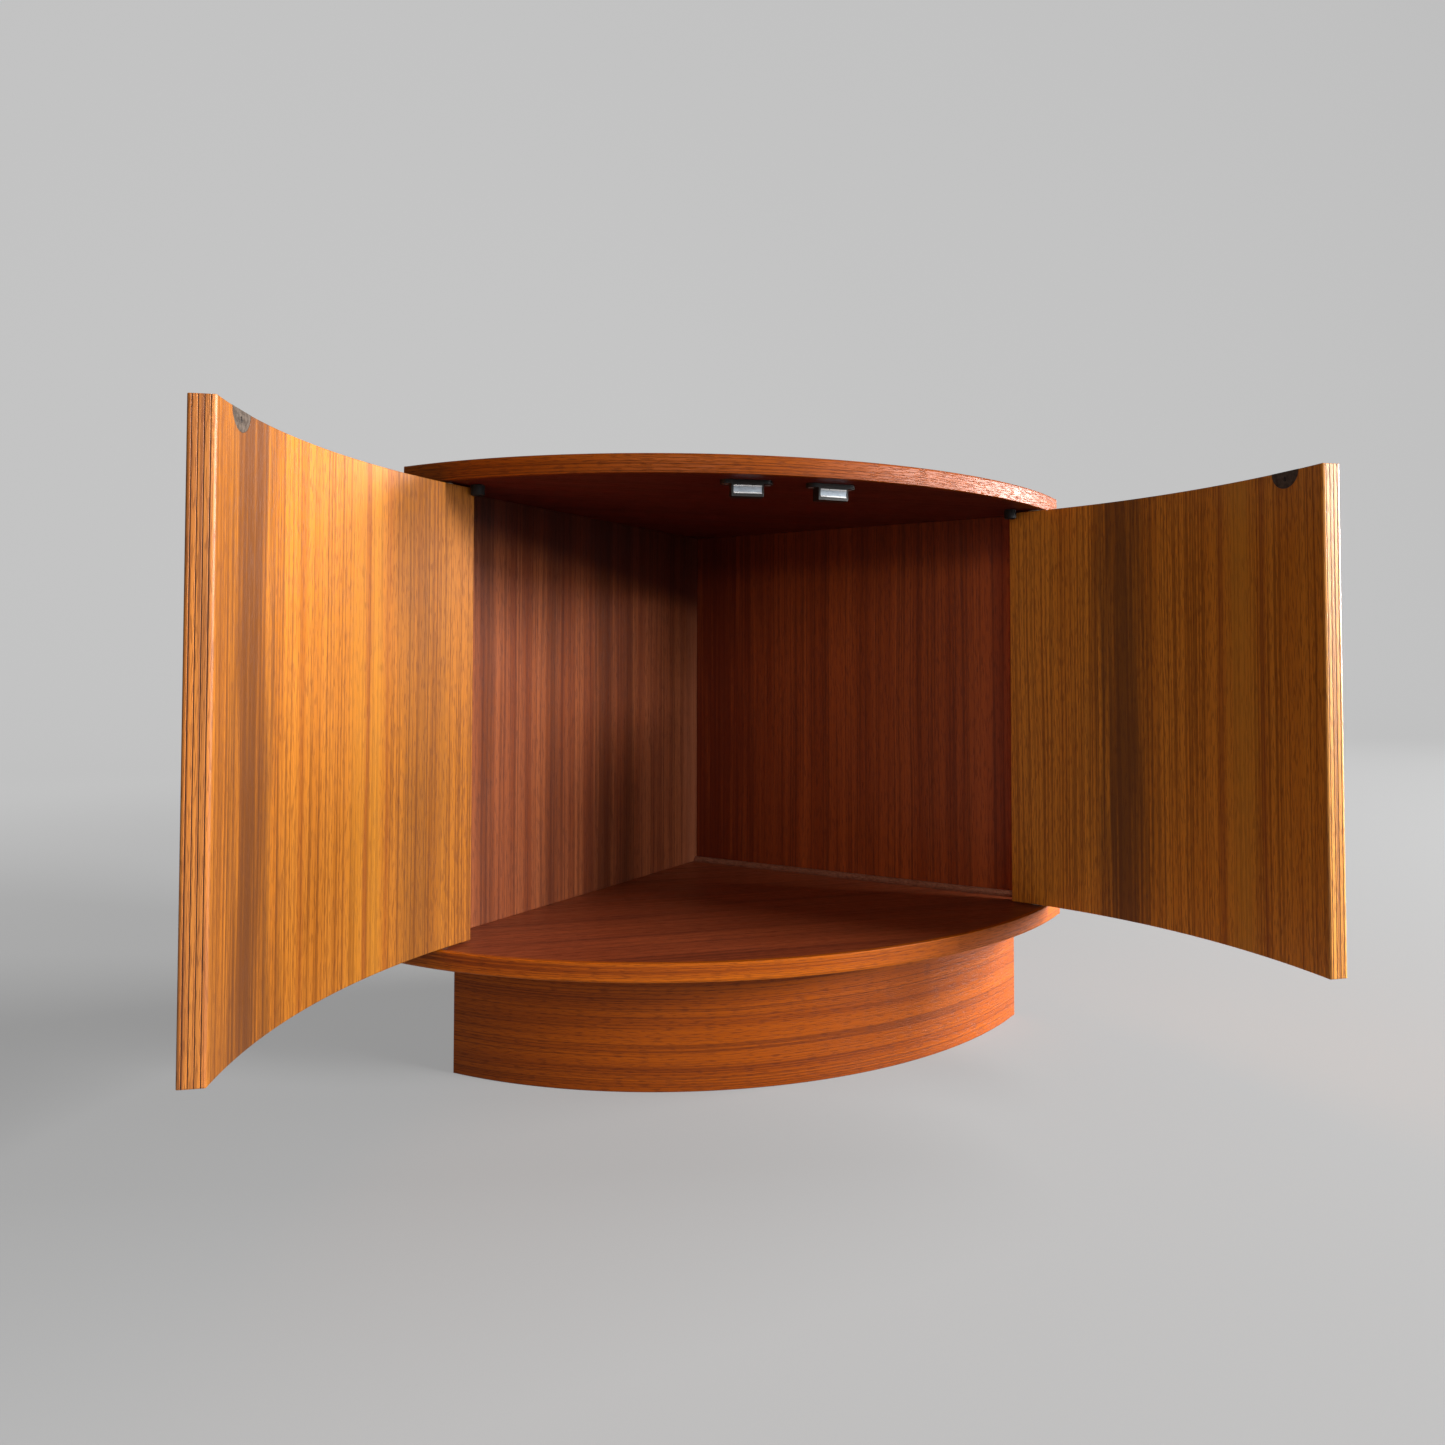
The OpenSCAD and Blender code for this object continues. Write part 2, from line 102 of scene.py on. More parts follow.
def closed_points(name):
    """Where a node of the right door is when that door is closed."""
    back = PLACE["right_door"].inverted()
    return [back @ vertex.co for vertex in frame["nodes"][name].data.vertices]


def bow_polar(point):
    """A point's angle and radius about the bow's centre."""
    return math.atan2(point.x, BOW_Y - point.y), math.hypot(point.x, point.y - BOW_Y)


def bow_extent(name):
    """Lowest and highest angle, radius and height of a closed door's node."""
    points = closed_points(name)
    polar = [bow_polar(point) for point in points]
    columns = [[a for a, _ in polar], [r for _, r in polar], [p.z for p in points]]
    return [(min(column), max(column)) for column in columns]


(FREE_ANGLE, TAIL_ANGLE), (DOOR_IN, DOOR_OUT), (DOOR_FOOT, DOOR_TOP) = bow_extent(
    "right_door_plies")
DOOR_MID = (DOOR_IN + DOOR_OUT) / 2
DOOR_START, DOOR_END = FREE_ANGLE * DOOR_MID, TAIL_ANGLE * DOOR_MID
print(f"door: {(DOOR_OUT - DOOR_IN) / MM:.1f} mm thick, {DOOR_END - DOOR_START:.3f} m long")

# %% [markdown]
# ## Short ways to build node trees
#
# A node tree is a list of nodes and wires. `put` adds one node and feeds its sockets, with a wire
# where it is given another node's output and with a constant where it is given a number or a
# colour. The others are the same for the steps that come up most: one step of arithmetic on numbers
# or on vectors, a noise, a ramp, a mix of two colours, and a new group with its sockets.


# %% Node helpers
def feed(tree, socket, value):
    if isinstance(value, bpy.types.NodeSocket):
        tree.links.new(value, socket)
    else:
        socket.default_value = value


def put(tree, kind, fill=None, **settings):
    made = tree.nodes.new(kind)
    for key, value in settings.items():
        setattr(made, key, value)
    for key, value in (fill or {}).items():
        feed(tree, made.inputs[key], value)
    return made


def reckon(tree, operation, *values):
    return put(tree, "ShaderNodeMath", dict(enumerate(values)), operation=operation).outputs[0]


def reckon_vector(tree, operation, *values):
    fill = dict(enumerate(values))
    return put(tree, "ShaderNodeVectorMath", fill, operation=operation).outputs[0]


def vector_of(tree, **parts):
    return put(tree, "ShaderNodeCombineXYZ", parts).outputs[0]


def parts_of(tree, vector):
    return put(tree, "ShaderNodeSeparateXYZ", {0: vector}).outputs


def noise(tree, vector, detail, scale=1.0):
    fill = {"Vector": vector, "Scale": scale, "Detail": detail}
    return put(tree, "ShaderNodeTexNoise", fill).outputs["Fac"]


def ramp_between(tree, value, low, high):
    """0 up to low, 1 from high on, and a smooth rise between them."""
    step = put(tree, "ShaderNodeMapRange", {"Value": value, "From Min": low, "From Max": high},
               interpolation_type="SMOOTHSTEP")
    return step.outputs["Result"]


def blend_colour(tree, share, first, second, mode="MIX"):
    step = put(tree, "ShaderNodeMix", {0: share, 6: first, 7: second}, data_type="RGBA",
               blend_type=mode)
    return step.outputs[2]


def open_group(name, kind, inputs, outputs):
    tree = bpy.data.node_groups.new(name, kind)
    for label, (socket_type, default) in inputs.items():
        socket = tree.interface.new_socket(name=label, in_out="INPUT", socket_type=socket_type)
        if default is not None:
            socket.default_value = default
    for label, socket_type in outputs.items():
        tree.interface.new_socket(name=label, in_out="OUTPUT", socket_type=socket_type)
    return tree, put(tree, "NodeGroupInput").outputs, put(tree, "NodeGroupOutput").inputs


FLOAT, VECTOR, COLOUR = "NodeSocketFloat", "NodeSocketVector", "NodeSocketColor"
GEOMETRY, MATERIAL = "NodeSocketGeometry", "NodeSocketMaterial"
print("node helpers ready")

# %% [markdown]
# ## What wood is made of
#
# Veneer shows three things at three scales: broad bands of colour a finger wide, growth lines a
# millimetre or two apart, and pores, which are short dark dashes thinner than a pencil line. All
# three run along the grain, so each is the same noise, squeezed across the grain and stretched
# along it. The group takes points in grain space: X across, Y into the board, Z along the grain, in
# metres. Every wooden piece uses this one group, with its own colours and widths.


# %% Group: wood figure
def wood_figure_group():
    tree, given, result = open_group("Wood figure", "ShaderNodeTree", {
        "Grain Space": (VECTOR, None), "Seed": (FLOAT, 0.0), "Wander": (FLOAT, 0.008),
        "Band Width": (FLOAT, 0.016), "Band Contrast": (FLOAT, 0.8),
        "Line Width": (FLOAT, 0.0026), "Line Contrast": (FLOAT, 0.5),
        "Pore Contrast": (FLOAT, 0.42), "Pale": (COLOUR, (0.6, 0.25, 0.06, 1)),
        "Warm": (COLOUR, (0.45, 0.15, 0.03, 1)), "Dark": (COLOUR, (0.15, 0.04, 0.01, 1)),
    }, {"Color": COLOUR, "Roughness": FLOAT, "Height": FLOAT})
    pore_width, pore_length, band_run, line_run = 0.0009, 0.013, 1.1, 1.7
    band_limits, line_limits, pore_limits = (0.3, 0.68), (0.48, 0.64), (0.51, 0.64)
    drift_pace, line_depth, smoothest, roughening = (9, 9, 2.2), 0.4, 0.36, 0.12
    shift = vector_of(tree, X=given["Seed"], Z=given["Seed"])
    paced = reckon_vector(tree, "MULTIPLY", given["Grain Space"], drift_pace)
    drift = noise(tree, reckon_vector(tree, "ADD", paced, shift), 2.0)
    grain = parts_of(tree, given["Grain Space"])
    offset = reckon(tree, "MULTIPLY", reckon(tree, "SUBTRACT", drift, 0.5), given["Wander"])
    across = reckon(tree, "ADD", grain["X"], offset)

    def stripes(width, run, detail, limits):
        """Noise in stripes that are width across and fade in and out along the grain."""
        point = vector_of(tree, X=reckon(tree, "DIVIDE", across, width),
                          Y=reckon(tree, "DIVIDE", grain["Y"], width),
                          Z=reckon(tree, "MULTIPLY", grain["Z"], run))
        level = noise(tree, reckon_vector(tree, "ADD", point, shift), detail)
        return ramp_between(tree, level, *limits)

    bands = stripes(given["Band Width"], band_run, 3.0, band_limits)
    lines = stripes(given["Line Width"], line_run, 2.0, line_limits)
    pores = stripes(pore_width, 1 / pore_length, 1.0, pore_limits)
    tone = given["Pale"]
    for mask, contrast, colour in ((bands, "Band Contrast", "Warm"),
                                   (lines, "Line Contrast", "Dark"),
                                   (pores, "Pore Contrast", "Dark")):
        share = reckon(tree, "MULTIPLY", mask, given[contrast])
        tone = blend_colour(tree, share, tone, given[colour])
    tree.links.new(tone, result["Color"])
    hollow = reckon(tree, "ADD", pores, reckon(tree, "MULTIPLY", lines, line_depth))
    rough = reckon(tree, "ADD", smoothest, reckon(tree, "MULTIPLY", hollow, roughening))
    tree.links.new(rough, result["Roughness"])
    tree.links.new(reckon(tree, "MULTIPLY", hollow, -1.0), result["Height"])
    return tree


WOOD_FIGURE = wood_figure_group()
print("group", WOOD_FIGURE.name, "has", len(WOOD_FIGURE.nodes), "nodes")

# %% [markdown]
# ## Streaks that belong to one veneer leaf
#
# A leaf of teak often carries a dark mineral streak, and its mirror twin carries another. A streak
# is a soft stripe at a chosen distance across the grain. It wanders a little, and its sides are
# ragged, because the stain follows single fibres.
# One wide stripe on the left door is not a streak but painted shade along its hinge side.


# %% Group: mineral streak
def streak_group():
    tree, given, result = open_group("Mineral streak", "ShaderNodeTree", {
        "Grain Space": (VECTOR, None), "At": (FLOAT, 0.05), "Half Width": (FLOAT, 0.02),
        "Wander": (FLOAT, 0.01), "Seed": (FLOAT, 0.0),
    }, {"Mask": FLOAT})
    lazy_pace, fibre_pace, fibre_reach = (4, 4, 3), (320, 320, 6), 1.6
    shift = vector_of(tree, Y=given["Seed"])

    def ragged(pace, detail):
        point = reckon_vector(tree, "MULTIPLY", given["Grain Space"], pace)
        level = noise(tree, reckon_vector(tree, "ADD", point, shift), detail)
        return reckon(tree, "SUBTRACT", level, 0.5)

    lazy = reckon(tree, "MULTIPLY", ragged(lazy_pace, 1.0), given["Wander"])
    fibres = reckon(tree, "MULTIPLY", ragged(fibre_pace, 3.0),
                    reckon(tree, "MULTIPLY", given["Half Width"], fibre_reach))
    across = reckon(tree, "ADD", parts_of(tree, given["Grain Space"])["X"], lazy)
    away = reckon(tree, "ABSOLUTE", reckon(tree, "SUBTRACT", across, given["At"]))
    share = reckon(tree, "DIVIDE", reckon(tree, "ADD", away, fibres), given["Half Width"])
    inside = reckon(tree, "SUBTRACT", 1.0, share)
    tree.links.new(ramp_between(tree, inside, 0.0, 1.0), result["Mask"])
    return tree


STREAK = streak_group()
print("group", STREAK.name, "ready")

# %% [markdown]
# ## Wear
#
# Nothing that stands in a room stays even. Hands polish a finish in patches, and dust dulls it.
# This group gives a slow cloudy value, which moves the gloss of wood a little, and on the small
# fittings the colour as well.


# %% Group: wear
def wear_group():
    tree, given, result = open_group("Wear", "ShaderNodeTree", {
        "Position": (VECTOR, None), "Cloud Size": (FLOAT, 0.08)}, {"Cloud": FLOAT})
    cloud_limits, cloud_detail = (0.3, 0.7), 3.0
    pace = reckon(tree, "DIVIDE", 1.0, given["Cloud Size"])
    clouds = noise(tree, given["Position"], cloud_detail, pace)
    tree.links.new(ramp_between(tree, clouds, *cloud_limits), result["Cloud"])
    return tree


WEAR = wear_group()
print("group", WEAR.name, "ready")

# %% [markdown]
# ## Grain space
#
# A flat piece can read its grain from plain object coordinates, turned so that Z runs along the
# grain. A bent piece can't: its grain follows the bend. Those pieces carry an attribute called
# `wood`, stored before they are bent, with the distance along the bow, the radius and the height. A
# Mapping node then turns either one to suit.

# %% Wood material
EDGE_LACQUER, EDGE_BLEND, TOP_SHADOW_BLEND = 0.4, 0.0012, 0.02
HAZE, BUMP_STRENGTH, COAT_ROUGHNESS = 0.08, 0.6, 0.3
STREAK_SEED_STEP, LEAF_SEED = 3.7, 5.5


def principled(name, **constants):
    made = bpy.data.materials.new(name)
    made.use_nodes = True
    shader = made.node_tree.nodes["Principled BSDF"]
    for key, value in constants.items():
        shader.inputs[key.replace("_", " ")].default_value = value
    return made, made.node_tree, shader


def group_node(tree, group, **fill):
    made = put(tree, "ShaderNodeGroup", node_tree=group)
    for key, value in fill.items():
        feed(tree, made.inputs[key.replace("_", " ")], value)
    return made.outputs


def wood(name, turn, bent=False, streaks=(), edge=None, painted_top_shadow=None, veneer=None,
         relief=0.00012, coat=0.05, specular=0.3, **figure):
    """A wood finish. streaks are (at, half width, wander, colour, share) across the grain, one of
    them on the left door being painted shade. edge is (place, tint) of a laminated board's free
    edge, which has more lacquer, and its tint is paler ply ends with painted glare over them. The
    painted top shadow is (height, slope, tint) of shade painted on the strip under a top, where the
    top's shadow falls, and veneer is (height, figure) of a better leaf on a board's upper face."""
    made, tree, shader = principled(name, Coat_Weight=coat, Coat_Roughness=COAT_ROUGHNESS,
                                    Specular_IOR_Level=specular)
    if bent:
        source = put(tree, "ShaderNodeAttribute", attribute_name="wood").outputs["Vector"]
    else:
        source = put(tree, "ShaderNodeTexCoord").outputs["Object"]
    space = put(tree, "ShaderNodeMapping", {"Vector": source, "Rotation": turn}).outputs[0]
    grain = parts_of(tree, space)
    looks = group_node(tree, WOOD_FIGURE, Grain_Space=space, **figure)
    tone = looks["Color"]
    for index, (at, half_width, wander, colour, share) in enumerate(streaks):
        mask = group_node(tree, STREAK, Grain_Space=space, At=at, Half_Width=half_width,
                          Wander=wander, Seed=STREAK_SEED_STEP * index + 1)["Mask"]
        tone = blend_colour(tree, reckon(tree, "MULTIPLY", mask, share), tone, (*colour, 1))
    if veneer:
        height, leaf_figure = veneer
        leaf = group_node(tree, WOOD_FIGURE, Grain_Space=space, Seed=LEAF_SEED, **leaf_figure)
        above = reckon(tree, "GREATER_THAN", parts_of(tree, source)["Z"], height)
        tone = blend_colour(tree, above, tone, leaf["Color"])
    # The free edge's tint makes it paler and whiter: partly its ply ends, partly painted glare, whiter on the
    # right door.
    if edge:
        edge_at, tint = edge
        past = ramp_between(tree, reckon(tree, "SUBTRACT", edge_at, grain["X"]), -EDGE_BLEND, 0.0)
        tone = blend_colour(tree, past, tone, (*tint, 1), "MULTIPLY")
        lacquer = reckon(tree, "ADD", coat, reckon(tree, "MULTIPLY", past, EDGE_LACQUER))
        tree.links.new(lacquer, shader.inputs["Coat Weight"])
    # Painted shadow: the strip under a top is darkened where the top's shade falls, and slope tilts its lower edge
    # along the wall.
    if painted_top_shadow:
        height, slope, tint = painted_top_shadow
        level = reckon(tree, "ADD", grain["Z"], reckon(tree, "MULTIPLY", grain["X"], slope))
        shaded = ramp_between(tree, level, height - TOP_SHADOW_BLEND, height + TOP_SHADOW_BLEND)
        tone = blend_colour(tree, shaded, tone, (*tint, 1), "MULTIPLY")
    tree.links.new(tone, shader.inputs["Base Color"])
    worn = group_node(tree, WEAR, Position=source)
    haze = reckon(tree, "MULTIPLY", worn["Cloud"], HAZE)
    tree.links.new(reckon(tree, "ADD", looks["Roughness"], haze), shader.inputs["Roughness"])
    bump = put(tree, "ShaderNodeBump", {"Height": looks["Height"], "Strength": BUMP_STRENGTH,
                                        "Distance": relief})
    tree.links.new(bump.outputs[0], shader.inputs["Normal"])
    return made


print("wood material ready")

# %% [markdown]
# ## Colours of the leaves
#
# Each kind of leaf has a pale tone, a warm one for its bands and a dark one for lines and pores.
# The doors are golden teak, the walls inside are a red ribbon veneer, and the edges, the plinth and
# the pulls are darker solid teak. Colours are linear red, green and blue.


# %% Palettes
def palette(pale, warm, dark):
    return {"Pale": (*pale, 1), "Warm": (*warm, 1), "Dark": (*dark, 1)}


LEFT_TEAK = palette((0.50, 0.172, 0.020), (0.40, 0.118, 0.011), (0.13, 0.030, 0.003))
RIGHT_TEAK = palette((0.64, 0.220, 0.020), (0.50, 0.150, 0.011), (0.15, 0.034, 0.003))
EDGE = palette((0.31, 0.064, 0.003), (0.19, 0.034, 0.002), (0.05, 0.008, 0.001))
FOOT = palette((0.58, 0.130, 0.003), (0.38, 0.070, 0.002), (0.10, 0.014, 0.001))
RED = palette((0.33, 0.092, 0.031), (0.19, 0.042, 0.014), (0.08, 0.014, 0.005))
DEEP_RED = palette((0.38, 0.072, 0.013), (0.21, 0.030, 0.005), (0.08, 0.010, 0.002))
BOARD = palette((0.31, 0.064, 0.019), (0.20, 0.038, 0.012), (0.06, 0.009, 0.004))
# A darker copy of the board veneer: painted shade on the underside of the top.
SHADED_UNDERSIDE = palette((0.14, 0.012, 0.004), (0.09, 0.007, 0.003), (0.03, 0.003, 0.001))
SIDE = palette((0.40, 0.080, 0.001), (0.25, 0.043, 0.001), (0.07, 0.009, 0.001))
BEAD = palette((0.30, 0.12, 0.07), (0.24, 0.085, 0.045), (0.12, 0.03, 0.014))
BEECH = palette((0.66, 0.48, 0.28), (0.58, 0.38, 0.2), (0.36, 0.2, 0.09))
BROWN, GOLD, RUST = (0.11, 0.035, 0.010), (0.54, 0.215, 0.020), (0.24, 0.055, 0.010)
WALL_DARK, WALL_PALE, WALL_DEEP = (0.075, 0.016, 0.006), (0.42, 0.14, 0.065), (0.11, 0.009, 0.001)
FINE = {"Band_Width": 0.012, "Band_Contrast": 0.6, "Line_Width": 0.0022, "Line_Contrast": 0.6,
        "Pore_Contrast": 0.5}
NARROW = {"Band_Width": 0.009, "Line_Width": 0.0016}
print("palettes ready")

# %% Places of the streaks and the painted shade
# The wide brown stripe at 0.295 m on the left door is painted shade along its hinge side.
LEFT_STREAKS_AND_SHADE = ((0.062, 0.062, 0.012, BROWN, 0.95), (0.295, 0.050, 0.010, BROWN, 0.45),
                (0.012, 0.026, 0.010, BROWN, 0.5), (0.215, 0.016, 0.008, GOLD, 0.35),
                (0.238, 0.014, 0.008, GOLD, 0.45), (0.225, 0.006, 0.010, RUST, 0.6),
                (0.252, 0.005, 0.012, RUST, 0.4), (0.140, 0.006, 0.012, RUST, 0.3))
RIGHT_STREAKS = ((0.228, 0.050, 0.008, BROWN, 0.85), (0.095, 0.024, 0.008, GOLD, 0.6),
                 (0.070, 0.005, 0.010, RUST, 0.5), (0.118, 0.006, 0.010, RUST, 0.5))
LEFT_WALL_STREAKS = ((-0.09, 0.018, 0.02, WALL_DARK, 0.5), (0.01, 0.022, 0.02, WALL_DARK, 0.45),
                     (0.10, 0.034, 0.02, WALL_DARK, 0.7), (0.145, 0.020, 0.02, WALL_DARK, 0.6),
                     (0.30, 0.050, 0.02, WALL_PALE, 0.6))
RIGHT_WALL_STREAKS = ((-0.27, 0.10, 0.02, WALL_DEEP, 0.8),)
print("streaks on the doors:", len(LEFT_STREAKS_AND_SHADE), "and", len(RIGHT_STREAKS))

# %% Wood finishes
QUARTER, EIGHTH = math.radians(90), math.radians(45)
UPRIGHT, ALONG_X = (0.0, 0.0, 0.0), (0.0, QUARTER, 0.0)
LEFT_SIDE, RIGHT_SIDE = (QUARTER, -EIGHTH, QUARTER), (QUARTER, EIGHTH, QUARTER)
LEAF_T = 2 * MM
# Height of the painted shadow that the top casts on the walls inside.
TOP_SHADOW_LINE = 0.515
FINISH = {
    # The tints at the free edges are paler ply ends with painted glare over them.
    "left_door": wood("Teak, left door", UPRIGHT, bent=True, streaks=LEFT_STREAKS_AND_SHADE,
                      edge=(DOOR_START, (1.9, 1.9, 2.6)), Seed=1.3, **FINE, **LEFT_TEAK),
    "right_door": wood("Teak, right door", UPRIGHT, bent=True, streaks=RIGHT_STREAKS,
                       edge=(DOOR_START, (1.5, 1.8, 3.2)), Seed=7.9, **FINE, **RIGHT_TEAK),
    "lipping": wood("Teak lipping", ALONG_X, bent=True, relief=0.0004, coat=0.0, specular=0.15,
                    Seed=4.1, **NARROW, **EDGE),
    "foot lipping": wood("Teak foot lipping", ALONG_X, bent=True, specular=0.2, Seed=4.8,
                         **NARROW, **FOOT),
    "plinth": wood("Teak plinth", ALONG_X, bent=True, specular=0.2, coat=0.03, Seed=2.6,
                   Band_Width=0.010, Line_Width=0.0015, Wander=0.012, Band_Contrast=0.7, **SIDE),
    "plinth left": wood("Teak plinth, left side", LEFT_SIDE, Seed=5.2, Line_Width=0.002, **SIDE),
    "plinth right": wood("Teak plinth, right side", RIGHT_SIDE, Seed=6.6, Line_Width=0.002,
                         **SIDE),
    # Both walls carry a painted shadow under the top; on the left wall its edge slopes down towards the rear.
    "left wall": wood("Ribbon veneer, left", (0, 0, -EIGHTH), streaks=LEFT_WALL_STREAKS,
                      painted_top_shadow=(TOP_SHADOW_LINE, 0.15, (0.3, 0.18, 0.18)), Seed=3.3, Band_Width=0.012,
                      Wander=0.010, Band_Contrast=0.9, **RED),
    "right wall": wood("Ribbon veneer, right", (0, 0, EIGHTH), streaks=RIGHT_WALL_STREAKS,
                       painted_top_shadow=(TOP_SHADOW_LINE, 0.0, (0.6, 0.45, 0.4)), Seed=9.1, Band_Width=0.015,
                       Wander=0.010, Band_Contrast=0.8, **DEEP_RED),
    "board": wood("Board veneer", ALONG_X, Seed=6.4, Band_Width=0.02, **BOARD),
    # The top board's underside is painted shade; its upper face is teak.
    "top board": wood("Top veneer", ALONG_X, Seed=6.9, Band_Width=0.02,
                      veneer=(panel_high.z - LEAF_T, {**FINE, **RIGHT_TEAK}), **SHADED_UNDERSIDE),
    "bead": wood("Bead", (QUARTER, 0, EIGHTH), Seed=8.8, **BEAD),
    "pull": wood("Teak pull", UPRIGHT, Seed=2.2, **EDGE),
    "pale": wood("Beech", UPRIGHT, Seed=1.1, **BEECH),
}
print("wood finishes:", sorted(FINISH))

# %% [markdown]
# ## Metal, rubber and plastic
#
# The small fittings are where a stand-in gives itself away. Rolled steel is a little cloudy,
# browned steel is blotchy, rubber is matt with a fine tooth, and moulded plastic is a little
# uneven. So each of them drifts between two colours and two glosses.

# %% Fitting finishes
TOOTH_PACE, TOOTH_DETAIL, TOOTH_STRENGTH = 2400.0, 2.0, 0.5


def fitting(name, base, second, cloud, relief, rough, spread, **constants):
    """A plain material whose colour and gloss drift between two values, with a fine tooth."""
    made, tree, shader = principled(name, **constants)
    place = put(tree, "ShaderNodeTexCoord").outputs["Object"]
    worn = group_node(tree, WEAR, Position=place, Cloud_Size=cloud)["Cloud"]
    tone = blend_colour(tree, worn, (*base, 1), (*second, 1))
    tree.links.new(tone, shader.inputs["Base Color"])
    duller = reckon(tree, "ADD", rough, reckon(tree, "MULTIPLY", worn, spread))
    tree.links.new(duller, shader.inputs["Roughness"])
    tooth = noise(tree, place, TOOTH_DETAIL, TOOTH_PACE)
    bump = put(tree, "ShaderNodeBump", {"Height": tooth, "Strength": TOOTH_STRENGTH,
                                        "Distance": relief})
    tree.links.new(bump.outputs[0], shader.inputs["Normal"])
    return made


FINISH.update({
    "glue": fitting("Glue line", (0.045, 0.010, 0.004), (0.085, 0.022, 0.008), cloud=0.01,
                    relief=2e-5, rough=0.5, spread=0.2),
    "dark steel": fitting("Browned steel", (0.05, 0.037, 0.029), (0.10, 0.076, 0.06),
                          cloud=0.004, relief=2e-5, rough=0.55, spread=0.2, Metallic=0.1,
                          Specular_IOR_Level=0.15),
    "old screw": fitting("Browned screw", (0.035, 0.027, 0.022), (0.06, 0.045, 0.036),
                         cloud=0.002, relief=2e-5, rough=0.55, spread=0.2, Metallic=0.4),
    "steel": fitting("Bright steel", (0.74, 0.74, 0.74), (0.62, 0.62, 0.62), cloud=0.006,
                     relief=1e-5, rough=0.24, spread=0.14, Metallic=0.7),
    "magnet": fitting("Magnet face", (0.50, 0.58, 0.66), (0.40, 0.47, 0.55), cloud=0.005,
                      relief=2e-5, rough=0.35, spread=0.1, Metallic=0.1),
    "rubber": fitting("Black rubber", (0.004, 0.004, 0.0045), (0.008, 0.008, 0.008),
                      cloud=0.004, relief=4e-5, rough=0.68, spread=0.15),
    "plastic": fitting("Dark plastic", (0.006, 0.005, 0.005), (0.012, 0.01, 0.009),
                       cloud=0.006, relief=2e-5, rough=0.38, spread=0.12),
    "nylon": fitting("Nylon", (0.72, 0.70, 0.64), (0.62, 0.6, 0.54), cloud=0.006, relief=1e-5,
                     rough=0.45, spread=0.1, Subsurface_Weight=0.1),
})
print("all finishes:", len(FINISH))

# %% [markdown]
# ## Bend boards to the bow
#
# A laminated door is made by bending flat leaves over a form. The script does the same: it makes
# each board flat, with X as the distance along the bow, Y as the radius and Z as the height, and a
# Geometry Nodes tree bends it. The tree first stores the flat position as the `wood` attribute, so
# that the grain bends with the board, and then moves every point onto the circle. A greater radius
# lies nearer the front, towards -Y, so the bend mirrors the board, and its faces are flipped to
# point outwards.


# %% Geometry Nodes: bend to the bow
def end_tree(tree, geometry, finish, result):
    """Every tree ends in plain geometry that has its finish."""
    real = put(tree, "GeometryNodeRealizeInstances", {"Geometry": geometry}).outputs[0]
    last = put(tree, "GeometryNodeSetMaterial", {"Geometry": real, "Material": finish})
    tree.links.new(last.outputs[0], result["Geometry"])


def bend_tree():
    tree, given, result = open_group("Bend to the bow", "GeometryNodeTree", {
        "Geometry": (GEOMETRY, None), "Measured Radius": (FLOAT, DOOR_MID),
        "Centre Y": (FLOAT, BOW_Y), "Finish": (MATERIAL, None),
    }, {"Geometry": GEOMETRY})
    tree.is_modifier = True
    flat = put(tree, "GeometryNodeInputPosition").outputs[0]
    parts = parts_of(tree, flat)
    angle = reckon(tree, "DIVIDE", parts["X"], given["Measured Radius"])
    sideways = reckon(tree, "MULTIPLY", parts["Y"], reckon(tree, "SINE", angle))
    forwards = reckon(tree, "MULTIPLY", parts["Y"], reckon(tree, "COSINE", angle))
    bent = vector_of(tree, X=sideways, Y=reckon(tree, "SUBTRACT", given["Centre Y"], forwards),
                     Z=parts["Z"])
    kept = put(tree, "GeometryNodeStoreNamedAttribute", {
        "Geometry": given["Geometry"], "Name": "wood", "Value": flat},
        data_type="FLOAT_VECTOR", domain="POINT").outputs[0]
    moved = put(tree, "GeometryNodeSetPosition", {"Geometry": kept, "Position": bent}).outputs[0]
    turned = put(tree, "GeometryNodeFlipFaces", {"Mesh": moved}).outputs[0]
    end_tree(tree, turned, given["Finish"], result)
    return tree


def add_tree(piece, tree, **fill):
    """A Geometry Nodes modifier, its inputs set through their identifiers."""
    step = piece.modifiers.new(tree.name, "NODES")
    step.node_group = tree
    for item in tree.interface.items_tree:
        label = item.name.replace(" ", "_")
        if item.in_out == "INPUT" and label in fill:
            step[item.identifier] = fill[label]


def settle(piece):
    """Turns a piece and its modifiers into one plain mesh."""
    bpy.context.view_layer.update()
    seen = bpy.context.evaluated_depsgraph_get()
    mesh = bpy.data.meshes.new_from_object(piece.evaluated_get(seen), depsgraph=seen,
                                           preserve_all_data_layers=True)
    piece.modifiers.clear()
    piece.data = mesh
    return piece


BEND = bend_tree()
print("tree", BEND.name, "ready")

# %% [markdown]
# ## Flat boards with eased edges
#
# Every board starts as a block. Each of its twelve edges gets its own rounding as a bevel weight,
# so a single Bevel modifier can round a free edge by two millimetres and a glued edge by almost
# nothing.

# %% Flat board
HAIR = 1e-6


def new_piece(name, bm):
    mesh = bpy.data.meshes.new(name)
    bm.to_mesh(mesh)
    bm.free()
    piece = bpy.data.objects.new(name, mesh)
    bpy.context.scene.collection.objects.link(piece)
    return piece


def ease(piece, width, segments, clamp=True):
    bevel = piece.modifiers.new("Eased edges", "BEVEL")
    bevel.limit_method, bevel.width, bevel.segments = "WEIGHT", width, segments
    bevel.use_clamp_overlap = clamp
    return settle(piece)


